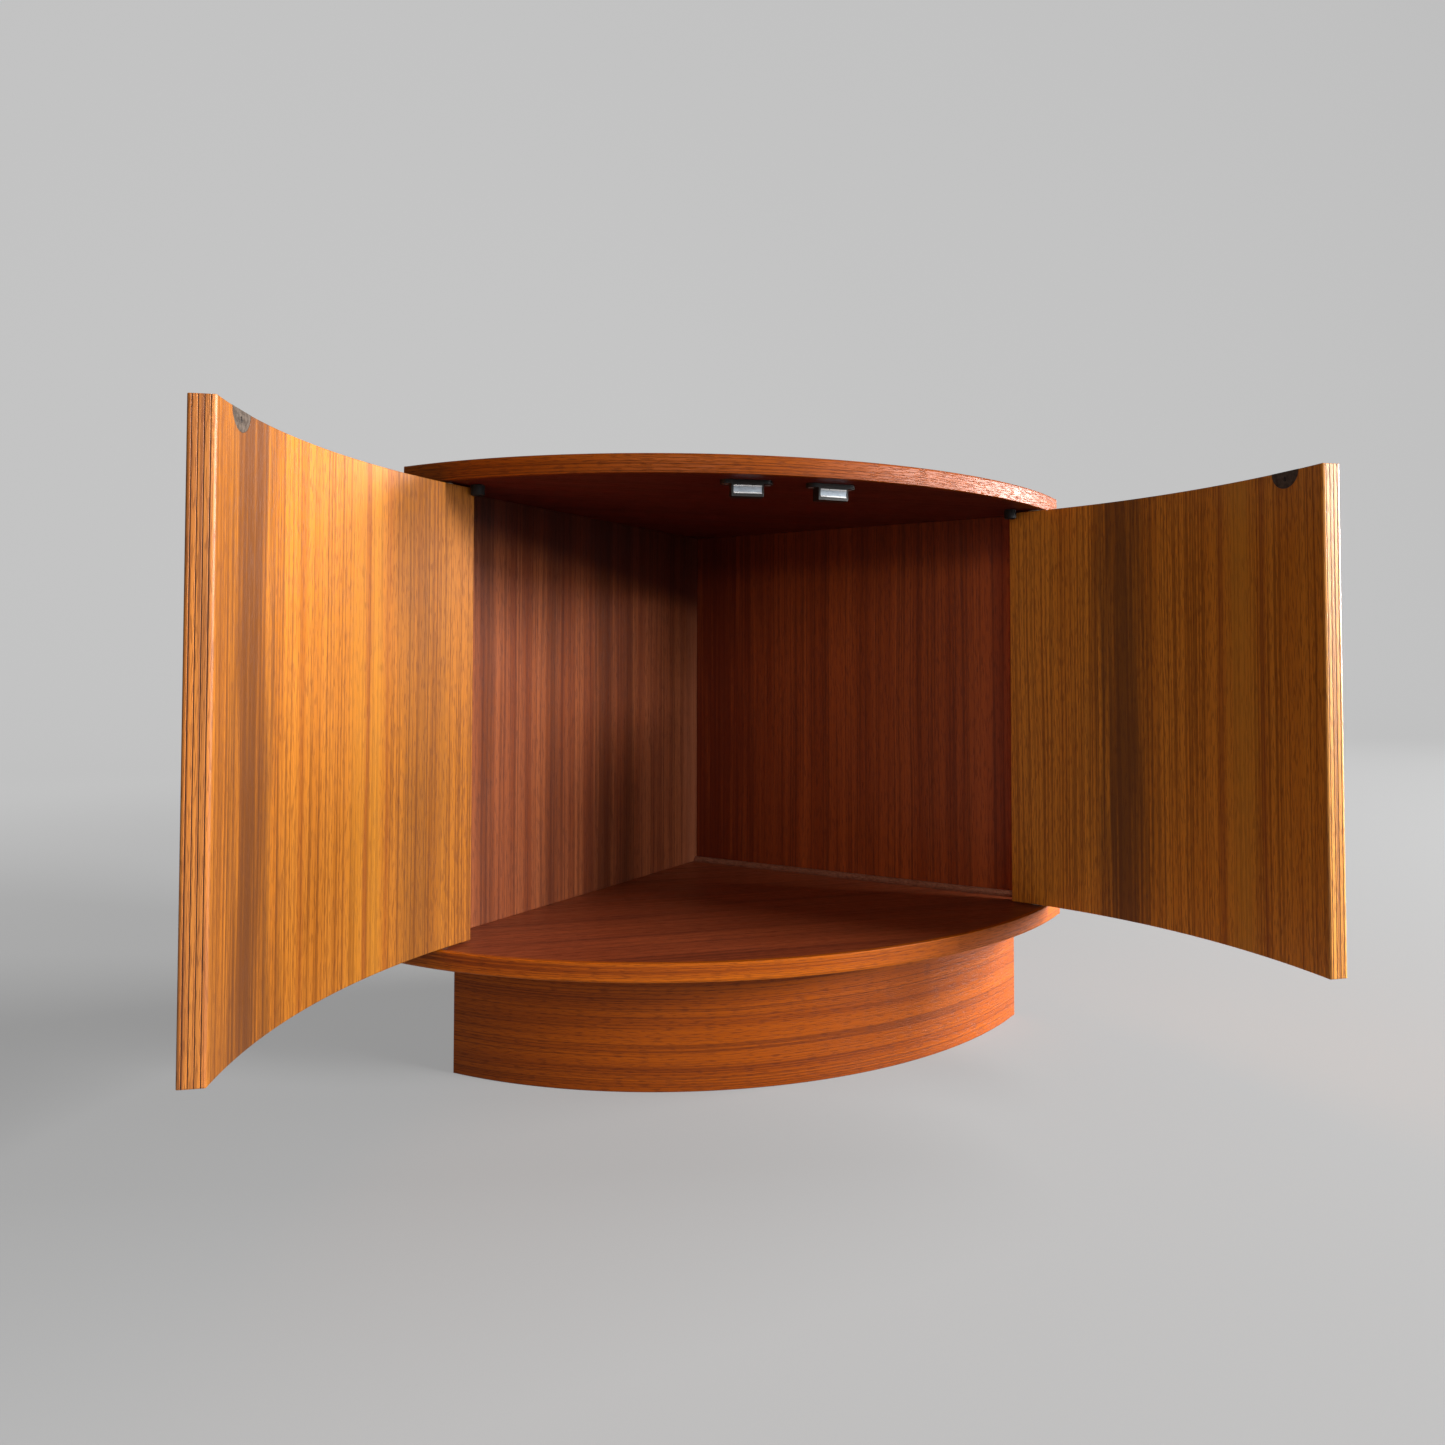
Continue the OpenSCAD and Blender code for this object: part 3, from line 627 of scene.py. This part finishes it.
def flat_board(name, along, radii, heights, rounding, end_of=None):
    """A block between three pairs of limits. rounding(direction, sides) gives each edge's radius,
    where sides holds -1 or 1 for the two axes that the edge lies at the ends of. end_of(radius)
    is how far a board with slanting ends reaches."""
    bm = bmesh.new()
    bmesh.ops.create_cube(bm, size=2)
    middles = [(low + high) / 2 for low, high in (along, radii, heights)]
    halves = [(high - low) / 2 for low, high in (along, radii, heights)]
    weight = bm.edges.layers.float.new("bevel_weight_edge")
    sizes = {}
    for edge in bm.edges:
        first, second = (vertex.co for vertex in edge.verts)
        sides = {axis: round(first[axis]) for axis in range(3)
                 if abs(first[axis] - second[axis]) < 1}
        direction = next(axis for axis in range(3) if axis not in sides)
        sizes[edge] = rounding(direction, sides)
    widest = max(max(sizes.values()), HAIR)
    for edge, size in sizes.items():
        edge[weight] = size / widest
    for vertex in bm.verts:
        side = vertex.co.x
        vertex.co = Vector([middles[axis] + halves[axis] * vertex.co[axis] for axis in range(3)])
        if end_of:
            vertex.co.x = side * end_of(vertex.co.y)
    return ease(new_piece(name, bm), widest, segments=3)


def slice_along(piece, start, end, step):
    """Cuts a flat board into strips, so that it can bend smoothly."""
    bm = bmesh.new()
    bm.from_mesh(piece.data)
    bmesh.ops.dissolve_degenerate(bm, dist=2 * HAIR, edges=bm.edges)
    count = max(2, round((end - start) / step))
    for index in range(1, count):
        place = Vector((start + (end - start) * index / count, 0, 0))
        bmesh.ops.bisect_plane(bm, geom=bm.verts[:] + bm.edges[:] + bm.faces[:], plane_co=place,
                               plane_no=(1, 0, 0), dist=HAIR)
    bm.to_mesh(piece.data)
    bm.free()


print("flat boards ready")


# %% Shade, place and join
def shade(piece, sharp_degrees=40):
    """Smooth shading with crisp corners, weighted so that large faces stay flat."""
    bm = bmesh.new()
    bm.from_mesh(piece.data)
    limit = math.radians(sharp_degrees)
    for face in bm.faces:
        face.smooth = True
    for edge in bm.edges:
        edge.smooth = not (len(edge.link_faces) == 2 and edge.calc_face_angle(0) > limit)
    bm.to_mesh(piece.data)
    bm.free()
    weigh = piece.modifiers.new("Weighted normals", "WEIGHTED_NORMAL")
    weigh.keep_sharp = True
    return settle(piece)


def place_mesh(piece, matrix):
    piece.data.transform(matrix)
    if matrix.determinant() < 0:
        piece.data.flip_normals()


def give_finish(piece, finish):
    piece.data.materials.clear()
    piece.data.materials.append(FINISH[finish])


def join_pieces(name, pieces):
    """Several plain meshes with one finish become one piece."""
    bm = bmesh.new()
    for piece in pieces:
        bm.from_mesh(piece.data)
    for face in bm.faces:
        face.material_index = 0
    finish = [material for material in pieces[0].data.materials if material][-1]
    for piece in pieces:
        bpy.data.objects.remove(piece)
    joined = new_piece(name, bm)
    joined.data.materials.append(finish)
    return joined


BODY_OF = {node: body for body, members in frame["record"]["behaviour"]["bodies"].items()
           for node in members}


def stand_for(piece, node):
    """The piece takes over a CAD node: its body and its place."""
    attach(piece, BODY_OF[node])
    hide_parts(node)
    print(f"{piece.name}: {len(piece.data.polygons)} faces for {node}")


print("board tools ready")

# %% [markdown]
# ## The doors: five leaves and four glue lines
#
# Each leaf is its own closed board. Only the outer leaves have free corners, so they get the
# visible rounding, and the glued edges get a hair's breadth, which draws the dark line between two
# leaves. Pockets for the pivot plates, the pins and the half-round strike plate are cut before the
# bend, because on a flat board a pocket is a plain block or disc.

# %% Door sizes
LEAVES = 5
GLUE = 0.6 * MM
LEAF = ((DOOR_OUT - DOOR_IN) - (LEAVES - 1) * GLUE) / LEAVES
FREE_ROUND, OUTER_ROUND, GLUE_ROUND = 2.2 * MM, 0.9 * MM, 0.22 * MM
STRIP = 6 * MM
FILM_BACK = 0.2 * MM
(strike_from, strike_to), _, (strike_foot, _) = bow_extent("right_door_strike_plate")
STRIKE_AT = (strike_from + strike_to) / 2 * DOOR_MID
STRIKE_R = DOOR_TOP - strike_foot
STRIKE_DEEP = 1.9 * MM
PIVOT_ANGLE, PIVOT_R = bow_polar(Vector((PIVOT_X, PIVOT_Y, 0)))
PIVOT_AT = PIVOT_ANGLE * DOOR_MID
(plate_from, plate_to), _, _ = bow_extent("right_door_pivot_plates")
PLATE_T, PLATE_W, SHY = 2 * MM, 10 * MM, 0.1 * MM
PIN_R, PIN_DEEP, PIN_PLAY, PIN_ROOM = 2.5 * MM, 10 * MM, 0.7 * MM, 2 * MM
print(f"leaf {LEAF / MM:.2f} mm, strike plate at {STRIKE_AT:.4f} m, pivot at {PIVOT_AT:.4f} m")


# %% Door cutters
def cutter_cylinder(name, radius, depth, matrix, segments=48):
    bm = bmesh.new()
    bmesh.ops.create_cone(bm, cap_ends=True, segments=segments, radius1=radius, radius2=radius,
                          depth=depth, matrix=matrix)
    return new_piece(name, bm)


def cutter_block(name, low, high):
    bm = bmesh.new()
    centre = (Vector(low) + Vector(high)) / 2
    size = Vector(high) - Vector(low)
    bmesh.ops.create_cube(bm, size=1,
                          matrix=Matrix.Translation(centre) @ Matrix.Diagonal((*size, 1)))
    return new_piece(name, bm)


def door_cutters():
    """One cutter for each pocket, in flat door space: half a disc, and at each end a plate with
    round ends and a bore for the pin."""
    lying = Matrix.Rotation(QUARTER, 4, "X")
    cuts = [cutter_cylinder("cut strike", STRIKE_R + SHY, 2 * STRIKE_DEEP,
                            Matrix.Translation((STRIKE_AT, DOOR_IN, DOOR_TOP)) @ lying)]
    start, end = plate_from * DOOR_MID - SHY, plate_to * DOOR_MID + SHY
    half = PLATE_W / 2 + SHY
    for level in (DOOR_TOP, DOOR_FOOT):
        cuts.append(cutter_block("cut plate", (start + half, PIVOT_R - half, level - PLATE_T),
                                 (end - half, PIVOT_R + half, level + PLATE_T)))
        for place in (start + half, end - half):
            cuts.append(cutter_cylinder("cut plate end", half, 2 * PLATE_T,
                                        Matrix.Translation((place, PIVOT_R, level))))
        cuts.append(cutter_cylinder("cut bore", PIN_R + PIN_PLAY, 2 * PIN_DEEP + PIN_ROOM,
                                    Matrix.Translation((PIVOT_AT, PIVOT_R, level)), 32))
    return cuts


def cut_with(piece, cutters):
    for cutter in cutters:
        step = piece.modifiers.new("Pocket", "BOOLEAN")
        step.operation, step.solver, step.object = "DIFFERENCE", "EXACT", cutter
    return settle(piece)


def bend(piece, finish):
    add_tree(piece, BEND, Measured_Radius=DOOR_MID, Centre_Y=BOW_Y, Finish=FINISH[finish])
    return settle(piece)


print("door cutters ready")


# %% Build both doors
def leaf_rounding(index):
    def rounding(direction, sides):
        outside = ((index == 0 and sides.get(1) == -1)
                   or (index == LEAVES - 1 and sides.get(1) == 1))
        if direction == 2 and outside:
            return FREE_ROUND if sides[0] == -1 else OUTER_ROUND
        if direction == 1:
            return OUTER_ROUND
        return OUTER_ROUND if outside else GLUE_ROUND
    return rounding


def build_door(body):
    cutters = door_cutters()
    leaves, films = [], []
    for index in range(LEAVES):
        near = DOOR_IN + index * (LEAF + GLUE)
        leaf = flat_board(f"leaf {index}", (DOOR_START, DOOR_END), (near, near + LEAF),
                          (DOOR_FOOT, DOOR_TOP), leaf_rounding(index))
        leaves.append(cut_with(leaf, cutters))
        if index:
            film = flat_board(f"film {index}", (DOOR_START + FILM_BACK, DOOR_END - FILM_BACK),
                              (near - GLUE, near), (DOOR_FOOT + FILM_BACK, DOOR_TOP - FILM_BACK),
                              lambda direction, sides: 0)
            films.append(cut_with(film, cutters))
    for suffix, boards, finish in (("plies", leaves, body), ("glue_lines", films, "glue")):
        for board in boards:
            slice_along(board, DOOR_START, DOOR_END, STRIP)
            bend(board, finish)
        piece = join_pieces(f"{body}_{suffix}_bent", boards)
        place_mesh(piece, PLACE[body])
        shade(piece)
        stand_for(piece, f"{body}_{suffix}")
    for cutter in cutters:
        bpy.data.objects.remove(cutter)


for body in PLACE:
    build_door(body)

# %% [markdown]
# ## Lippings and plinth front
#
# The strips along the boards and the plinth front are bent too. Their ends are cut in line with the
# cabinet's sides, which lie at 45 degrees, so the end of each radius is where its circle meets that
# side. The visible long edge of a lipping is rounded by three millimetres.


# %% Curved cabinet parts
def side_reach(inset):
    """For a radius: how far along the bow it reaches before it meets the side, inset inwards."""
    offset = (REAR_Y - BOW_Y) / math.sqrt(2) - inset
    return lambda radius: (math.pi / 4 + math.asin(offset / radius)) * DOOR_MID


END_CLEAR = 4 * MM


def bent_board(node, radii, heights, inset, rounding, finish):
    reach = side_reach(inset)
    end = reach(radii[1])
    board = flat_board(f"{node}_bent", (-end, end), radii, heights, rounding, end_of=reach)
    slice_along(board, -end + END_CLEAR, end - END_CLEAR, STRIP)
    bend(board, finish)
    shade(board)
    stand_for(board, node)


LIPPING_T, LIP_ROUND, SOFT = 5 * MM, 3 * MM, 0.6 * MM
PLINTH_T, PLINTH_INSET, PLINTH_ROUND = 16 * MM, 24 * MM, 1.2 * MM


def lip_rounding(rounded_side):
    def rounding(direction, sides):
        if sides.get(1) == -1:
            return 0
        return LIP_ROUND if direction == 0 and sides[2] == rounded_side else SOFT
    return rounding


def plinth_rounding(direction, sides):
    return PLINTH_ROUND if sides.get(1) == 1 and sides.get(2) != 1 else 0


for node, rounded_side, finish in (("top_front_lipping", 1, "lipping"),
                                   ("bottom_front_lipping", -1, "foot lipping")):
    low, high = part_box(node)
    bent_board(node, (BOW_R - LIPPING_T, BOW_R), (low.z, high.z), 0, lip_rounding(rounded_side),
               finish)
low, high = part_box("plinth_front")
bent_board("plinth_front", (BOW_Y - low.y - PLINTH_T, BOW_Y - low.y), (low.z, high.z),
           PLINTH_INSET, plinth_rounding, "plinth")

# %% [markdown]
# ## Flat boards from the CAD
#
# The two boards and the walls already have the right outline and all their pockets. A copy is
# welded into one skin, flat triangles are joined into whole faces, and only long sharp edges are
# eased.


# %% Eased copies
def welded(node):
    """A CAD node's loose triangles as one skin."""
    bm = bmesh.new()
    bm.from_mesh(frame["nodes"][node].data)
    bmesh.ops.remove_doubles(bm, verts=bm.verts, dist=HAIR)
    return bm


SHARP, FLAT_ENOUGH = math.radians(50), math.radians(0.5)


def eased(node, finish, radius, shortest):
    """A welded copy of a CAD node, with its sharp edges longer than shortest rounded a little."""
    bm = welded(node)
    bmesh.ops.dissolve_limit(bm, angle_limit=FLAT_ENOUGH, verts=bm.verts, edges=bm.edges)
    weight = bm.edges.layers.float.new("bevel_weight_edge")
    for edge in bm.edges:
        sharp_edge = len(edge.link_faces) == 2 and edge.calc_face_angle(0) > SHARP
        edge[weight] = 1.0 if sharp_edge and edge.calc_length() > shortest else 0.0
    piece = ease(new_piece(f"{node}_eased", bm), radius, segments=2, clamp=False)
    shade(piece, sharp_degrees=30)
    give_finish(piece, finish)
    stand_for(piece, node)


LONG = 60 * MM
for node, finish in (("top_panel", "top board"), ("bottom_panel", "board"),
                     ("left_wall", "left wall"), ("right_wall", "right wall"),
                     ("plinth_left_side", "plinth left"), ("plinth_right_side", "plinth right")):
    eased(node, finish, SOFT, LONG)
eased("floor_bead", "bead", radius=0.5 * MM, shortest=3 * MM)
eased("plinth_blocks", "pale", radius=0.8 * MM, shortest=20 * MM)

# %% [markdown]
# ## Fittings that keep their CAD shape
#
# Plates, catches and pulls only need their edges broken, so that they catch a line of light. Each
# has its finish and its rounding in millimetres.

# %% Plates, catches, stops and pulls
FITTINGS = {
    "hinge_plates": ("dark steel", 0.15), "hinge_washers": ("nylon", 0.2),
    "door_stops": ("rubber", 0.8), "catch_housings": ("plastic", 0.35),
    "catch_magnets": ("magnet", 0.2), "catch_pole_plates": ("steel", 0.2),
}
for body in PLACE:
    FITTINGS[f"{body}_pivot_plates"] = ("dark steel", 0.15)
    FITTINGS[f"{body}_strike_plate"] = ("dark steel", 0.2)
    FITTINGS[f"{body}_pull"] = ("pull", 0.8)
for node, (finish, radius) in FITTINGS.items():
    eased(node, finish, radius * MM, shortest=0.0)

# %% [markdown]
# ## Screws, one tree for all of them
#
# A countersunk wood screw is a cone, a shank and a point, with a slot cut across its head. Geometry
# Nodes builds it once and puts it on every point of a set. Its sizes are the tree's inputs, and a
# seed turns each slot its own way, as a screwdriver leaves it.


# %% Geometry Nodes: slotted screws
def screw_tree():
    tree, given, result = open_group("Slotted screws", "GeometryNodeTree", {
        "Geometry": (GEOMETRY, None), "Head Radius": (FLOAT, 0.003),
        "Shank Radius": (FLOAT, 0.0014), "Length": (FLOAT, 0.014),
        "Axis": (VECTOR, (0, 0, 1)), "Seed": ("NodeSocketInt", 1), "Finish": (MATERIAL, None),
    }, {"Geometry": GEOMETRY})
    tree.is_modifier = True
    head_r, shank_r, length = given["Head Radius"], given["Shank Radius"], given["Length"]
    tip_tall, tip_r, overlap, sides = 2 * MM, 0.3 * MM, 0.05 * MM, 24
    slot_length, slot_width, slot_depth = 3.0, 0.28, 0.6

    def cone(top, bottom, depth, foot):
        made = put(tree, "GeometryNodeMeshCone", {"Vertices": sides, "Radius Top": top,
                                                  "Radius Bottom": bottom, "Depth": depth})
        return put(tree, "GeometryNodeTransform", {
            "Geometry": made.outputs["Mesh"], "Translation": vector_of(tree, Z=foot)}).outputs[0]

    head_tall = reckon(tree, "SUBTRACT", head_r, shank_r)
    head = cone(head_r, shank_r, head_tall, reckon(tree, "MULTIPLY", head_tall, -1))
    below_head = reckon(tree, "SUBTRACT", length, head_tall)
    shank_tall = reckon(tree, "SUBTRACT", below_head, tip_tall)
    shank = cone(shank_r, shank_r, reckon(tree, "ADD", shank_tall, overlap),
                 reckon(tree, "SUBTRACT", tip_tall, length))
    tip = cone(shank_r, tip_r, tip_tall + overlap, reckon(tree, "MULTIPLY", length, -1))
    whole = put(tree, "GeometryNodeMeshBoolean", operation="UNION", solver="EXACT")
    for part in (head, shank, tip):
        tree.links.new(part, whole.inputs["Mesh 2"])
    slot_size = vector_of(tree, X=reckon(tree, "MULTIPLY", head_r, slot_length),
                          Y=reckon(tree, "MULTIPLY", head_r, slot_width),
                          Z=reckon(tree, "MULTIPLY", head_r, slot_depth))
    slot = put(tree, "GeometryNodeMeshCube", {"Size": slot_size})
    cut = put(tree, "GeometryNodeMeshBoolean", operation="DIFFERENCE", solver="EXACT")
    tree.links.new(whole.outputs["Mesh"], cut.inputs["Mesh 1"])
    tree.links.new(slot.outputs["Mesh"], cut.inputs["Mesh 2"])
    aim = put(tree, "FunctionNodeAlignRotationToVector", {"Vector": given["Axis"]}, axis="Z")
    turn = put(tree, "FunctionNodeRandomValue", {"Seed": given["Seed"]}, data_type="FLOAT")
    turn.inputs[3].default_value = math.tau
    spin = put(tree, "FunctionNodeAxisAngleToRotation", {"Angle": turn.outputs[1]})
    both = put(tree, "FunctionNodeRotateRotation", {
        "Rotation": aim.outputs[0], "Rotate By": spin.outputs[0]}, rotation_space="LOCAL")
    points = put(tree, "GeometryNodeMeshToPoints", {"Mesh": given["Geometry"]})
    spread = put(tree, "GeometryNodeInstanceOnPoints", {
        "Points": points.outputs[0], "Instance": cut.outputs["Mesh"],
        "Rotation": both.outputs[0]})
    end_tree(tree, spread.outputs[0], given["Finish"], result)
    return tree


SCREWS = screw_tree()
print("tree", SCREWS.name, "has", len(SCREWS.nodes), "nodes")


# %% Measure the CAD's screws
def solids_of(node):
    """The points of each separate solid in a CAD node, in the mesh's own order, so that every run
    turns the same slot the same way."""
    bm = welded(node)
    bm.verts.index_update()
    taken, found = set(), []
    for start in bm.verts:
        if start.index in taken:
            continue
        taken.add(start.index)
        stack, group = [start], []
        while stack:
            vertex = stack.pop()
            group.append(vertex.co.copy())
            for edge in vertex.link_edges:
                other = edge.other_vert(vertex)
                if other.index not in taken:
                    taken.add(other.index)
                    stack.append(other)
        found.append(group)
    bm.free()
    return found


RIM_SLACK, NECK_FROM, NECK_SHARE, PLAIN_NECK = 0.01 * MM, 0.1 * MM, 0.7, 0.45


def screw_measures(points, axis):
    """Head centre, head radius, shank radius and length of one screw that points against axis."""
    heights = [point.dot(axis) for point in points]
    top, foot = max(heights), min(heights)
    rim = [p for p, h in zip(points, heights) if top - h < RIM_SLACK]
    centre = sum(rim, Vector()) / len(rim)
    head = max((p - centre).length for p in rim)
    neck = [(p - centre - axis * (h - top)).length for p, h in zip(points, heights)
            if NECK_FROM < top - h < NECK_SHARE * (top - foot)]
    shank = min(neck) if neck else PLAIN_NECK * head
    return centre, head, shank, top - foot


print("screws in the hinge plates:", len(solids_of("hinge_plate_screws")))


# %% Put the screws in
def put_screws(node, axes, finish="steel"):
    """Replaces a node's screws. axes are the directions that its heads may face."""
    groups = {}
    for points in solids_of(node):
        measures = {axis: screw_measures(points, Vector(axis)) for axis in axes}
        facing = max(axes, key=lambda axis: measures[axis][1])
        groups.setdefault(facing, []).append(measures[facing])
    pieces = []
    for index, (facing, members) in enumerate(sorted(groups.items())):
        bm = bmesh.new()
        for centre, *_ in members:
            bm.verts.new(centre)
        piece = new_piece(f"{node} {index}", bm)
        _, head, shank, length = members[0]
        add_tree(piece, SCREWS, Head_Radius=head, Shank_Radius=shank, Length=length, Axis=facing,
                 Seed=index + 5, Finish=FINISH[finish])
        pieces.append(settle(piece))
    joined = join_pieces(f"{node}_slotted", pieces)
    shade(joined, sharp_degrees=30)
    stand_for(joined, node)


UP, DOWN = (0.0, 0.0, 1.0), (0.0, 0.0, -1.0)
LEFT_OUT = (-math.sqrt(0.5), math.sqrt(0.5), 0.0)
for node in ("hinge_plate_screws", "left_door_plate_screws", "right_door_plate_screws"):
    put_screws(node, (UP, DOWN))
for node in ("door_stop_screws", "catch_screws", "plinth_block_screws"):
    put_screws(node, (DOWN,))
put_screws("wall_corner_screws", (LEFT_OUT,))
for body in PLACE:
    inwards = Matrix.Rotation(STRIKE_AT / DOOR_MID, 3, "Z") @ Vector((0, 1, 0))
    put_screws(f"{body}_strike_screw", (tuple(PLACE[body].to_3x3() @ inwards),), "old screw")

# %% [markdown]
# ## Pieces that stay as they are
#
# Pins, dowels and pegs are plain turned pieces and mostly out of sight. They keep their CAD meshes
# and get a real finish.

# %% Finish the remaining nodes
KEPT = {"hinge_pins": "steel", "wall_dowels": "pale", "left_door_pull_pegs": "pale",
        "right_door_pull_pegs": "pale"}
for node, finish in KEPT.items():
    give_finish(frame["nodes"][node], finish)
print("kept CAD nodes:", sorted(KEPT))

# %% [markdown]
# ## The floor and the backdrop
#
# The cabinet stands on a pale seamless sweep. Near the cabinet it is mostly lit by the lamps, so it
# takes a soft shadow. Further away it takes less light and glows more by itself, which keeps the
# background one even grey.

# %% Sweep
SWEEP_NEAR, SWEEP_FAR, SWEEP_WIDE, SWEEP_TALL = -6.0, 5.5, 12.0, 8.0
SWEEP_BEND, SWEEP_STEPS = 2.0, 24
NEAR_GREYS, FAR_GREY = (0.185, 0.195), 0.06
FAR_FROM, FAR_TO = 0.7, 3.4
OWN_GLOW, SEEN_GLOW, FAR_GLOW = 0.12, 0.16, 0.225


def grey(level):
    return (level, level, level, 1)


def sweep_material():
    made = bpy.data.materials.new("Pale sweep")
    made.use_nodes = True
    tree = made.node_tree
    tree.nodes.clear()
    grain = put(tree, "ShaderNodeTexNoise", {"Scale": 3.0, "Detail": 2.0}).outputs["Fac"]
    place = put(tree, "ShaderNodeTexCoord").outputs["Object"]
    away = put(tree, "ShaderNodeVectorMath", {0: place}, operation="LENGTH").outputs["Value"]
    far_share = ramp_between(tree, away, FAR_FROM, FAR_TO)
    tone = blend_colour(tree, grain, *(grey(level) for level in NEAR_GREYS))
    matt = put(tree, "ShaderNodeBsdfDiffuse", {
        "Color": blend_colour(tree, far_share, tone, grey(FAR_GREY))})
    seen = put(tree, "ShaderNodeLightPath").outputs["Is Camera Ray"]
    extra = reckon(tree, "ADD", SEEN_GLOW, reckon(tree, "MULTIPLY", far_share, FAR_GLOW))
    strength = reckon(tree, "ADD", OWN_GLOW, reckon(tree, "MULTIPLY", seen, extra))
    glow = put(tree, "ShaderNodeEmission", {"Color": grey(1), "Strength": strength})
    both = put(tree, "ShaderNodeAddShader", {0: matt.outputs[0], 1: glow.outputs[0]})
    put(tree, "ShaderNodeOutputMaterial", {"Surface": both.outputs[0]})
    return made


def build_sweep():
    start = SWEEP_FAR - SWEEP_BEND
    profile = [(SWEEP_NEAR, 0.0), (start, 0.0)]
    profile += [(start + SWEEP_BEND * math.sin(a), SWEEP_BEND - SWEEP_BEND * math.cos(a))
                for a in (math.pi / 2 * i / SWEEP_STEPS for i in range(1, SWEEP_STEPS + 1))]
    profile.append((SWEEP_FAR, SWEEP_TALL))
    bm = bmesh.new()
    rows = [[bm.verts.new((x, y, z)) for x in (-SWEEP_WIDE, SWEEP_WIDE)] for y, z in profile]
    for first, second in zip(rows, rows[1:]):
        bm.faces.new((first[0], first[1], second[1], second[0])).smooth = True
    piece = new_piece("sweep", bm)
    piece.data.materials.append(sweep_material())
    print("sweep with", len(rows), "rows")


build_sweep()

# %% [markdown]
# ## Window light
#
# The main window stands to the front right. A side window from the right draws the bright ends of
# the bow, a low window brightens the right door's free edge, and a weak light from in front stands
# for the rest of the room.

# %% Lights
LAMP_BASE = 0.3


def area_light(name, bearing, rise, distance, target, size, power, spread=180):
    """A rectangle of light. The bearing runs from +X towards -Y and the rise is above level, both
    in degrees."""
    turn, up = math.radians(bearing), math.radians(rise)
    place = (distance * math.cos(up) * math.cos(turn), -distance * math.cos(up) * math.sin(turn),
             LAMP_BASE + distance * math.sin(up))
    data = bpy.data.lights.new(name, "AREA")
    data.shape, data.energy, data.spread = "RECTANGLE", power, math.radians(spread)
    data.size, data.size_y = size
    lamp = bpy.data.objects.new(name, data)
    lamp.location = place
    lamp.rotation_euler = (Vector(target) - Vector(place)).to_track_quat("-Z", "Y").to_euler()
    bpy.context.scene.collection.objects.link(lamp)
    print(f"{name}: {power} W from {bearing} degrees")


area_light("window", 36, 19, 7.0, target=(-0.1, 0.0, 0.35), size=(1.8, 1.8), power=700)
area_light("side window", 2, 12, 7.0, target=(0.1, 0.0, 0.4), size=(2.5, 2.8), power=390,
           spread=100)
area_light("low window", 48, 4, 6.0, target=(0.4, -0.2, 0.35), size=(1.0, 1.8), power=60)
area_light("room", 100, 16, 7.0, target=(-0.1, 0.0, 0.2), size=(3.0, 2.5), power=75)

# %% [markdown]
# ## The air of the room
#
# The world gives a faint warm fill, and looks brighter where the camera sees it past the sweep.

# %% World
FILL, SEEN_SKY = 0.07, 0.45
world = bpy.data.worlds.new("Room")
world.use_nodes = True
air = world.node_tree
backdrop = air.nodes["Background"]
backdrop.inputs["Color"].default_value = (1.0, 0.98, 0.97, 1)
direct = put(air, "ShaderNodeLightPath").outputs["Is Camera Ray"]
room_glow = reckon(air, "ADD", FILL, reckon(air, "MULTIPLY", direct, SEEN_SKY))
air.links.new(room_glow, backdrop.inputs["Strength"])
bpy.context.scene.world = world
bpy.context.scene.view_settings.view_transform = "Standard"
print("world:", world.name)

# %% [markdown]
# ## The camera
#
# A phone held low and to the left, close to the cabinet, so the near door edges spread wide. A
# small shift frames the cabinet as an off-centre crop would.


# %% Camera
def make_camera():
    data = bpy.data.cameras.new("Camera")
    data.sensor_width = 36
    data.lens = 25.24
    data.shift_x, data.shift_y = -0.0364, -0.0593
    camera = bpy.data.objects.new("Camera", data)
    camera.location = (-0.2721, -0.9329, 0.3937)
    camera.rotation_euler = (math.radians(91.65), 0.0, math.radians(-15.77))
    bpy.context.scene.collection.objects.link(camera)
    bpy.context.scene.camera = camera
    print("camera at", tuple(round(c, 3) for c in camera.location), "lens", data.lens)


make_camera()

# %% [markdown]
# ## The end
#
# The script ends by saying that the scene is built.

# %% Done
print("scene built")
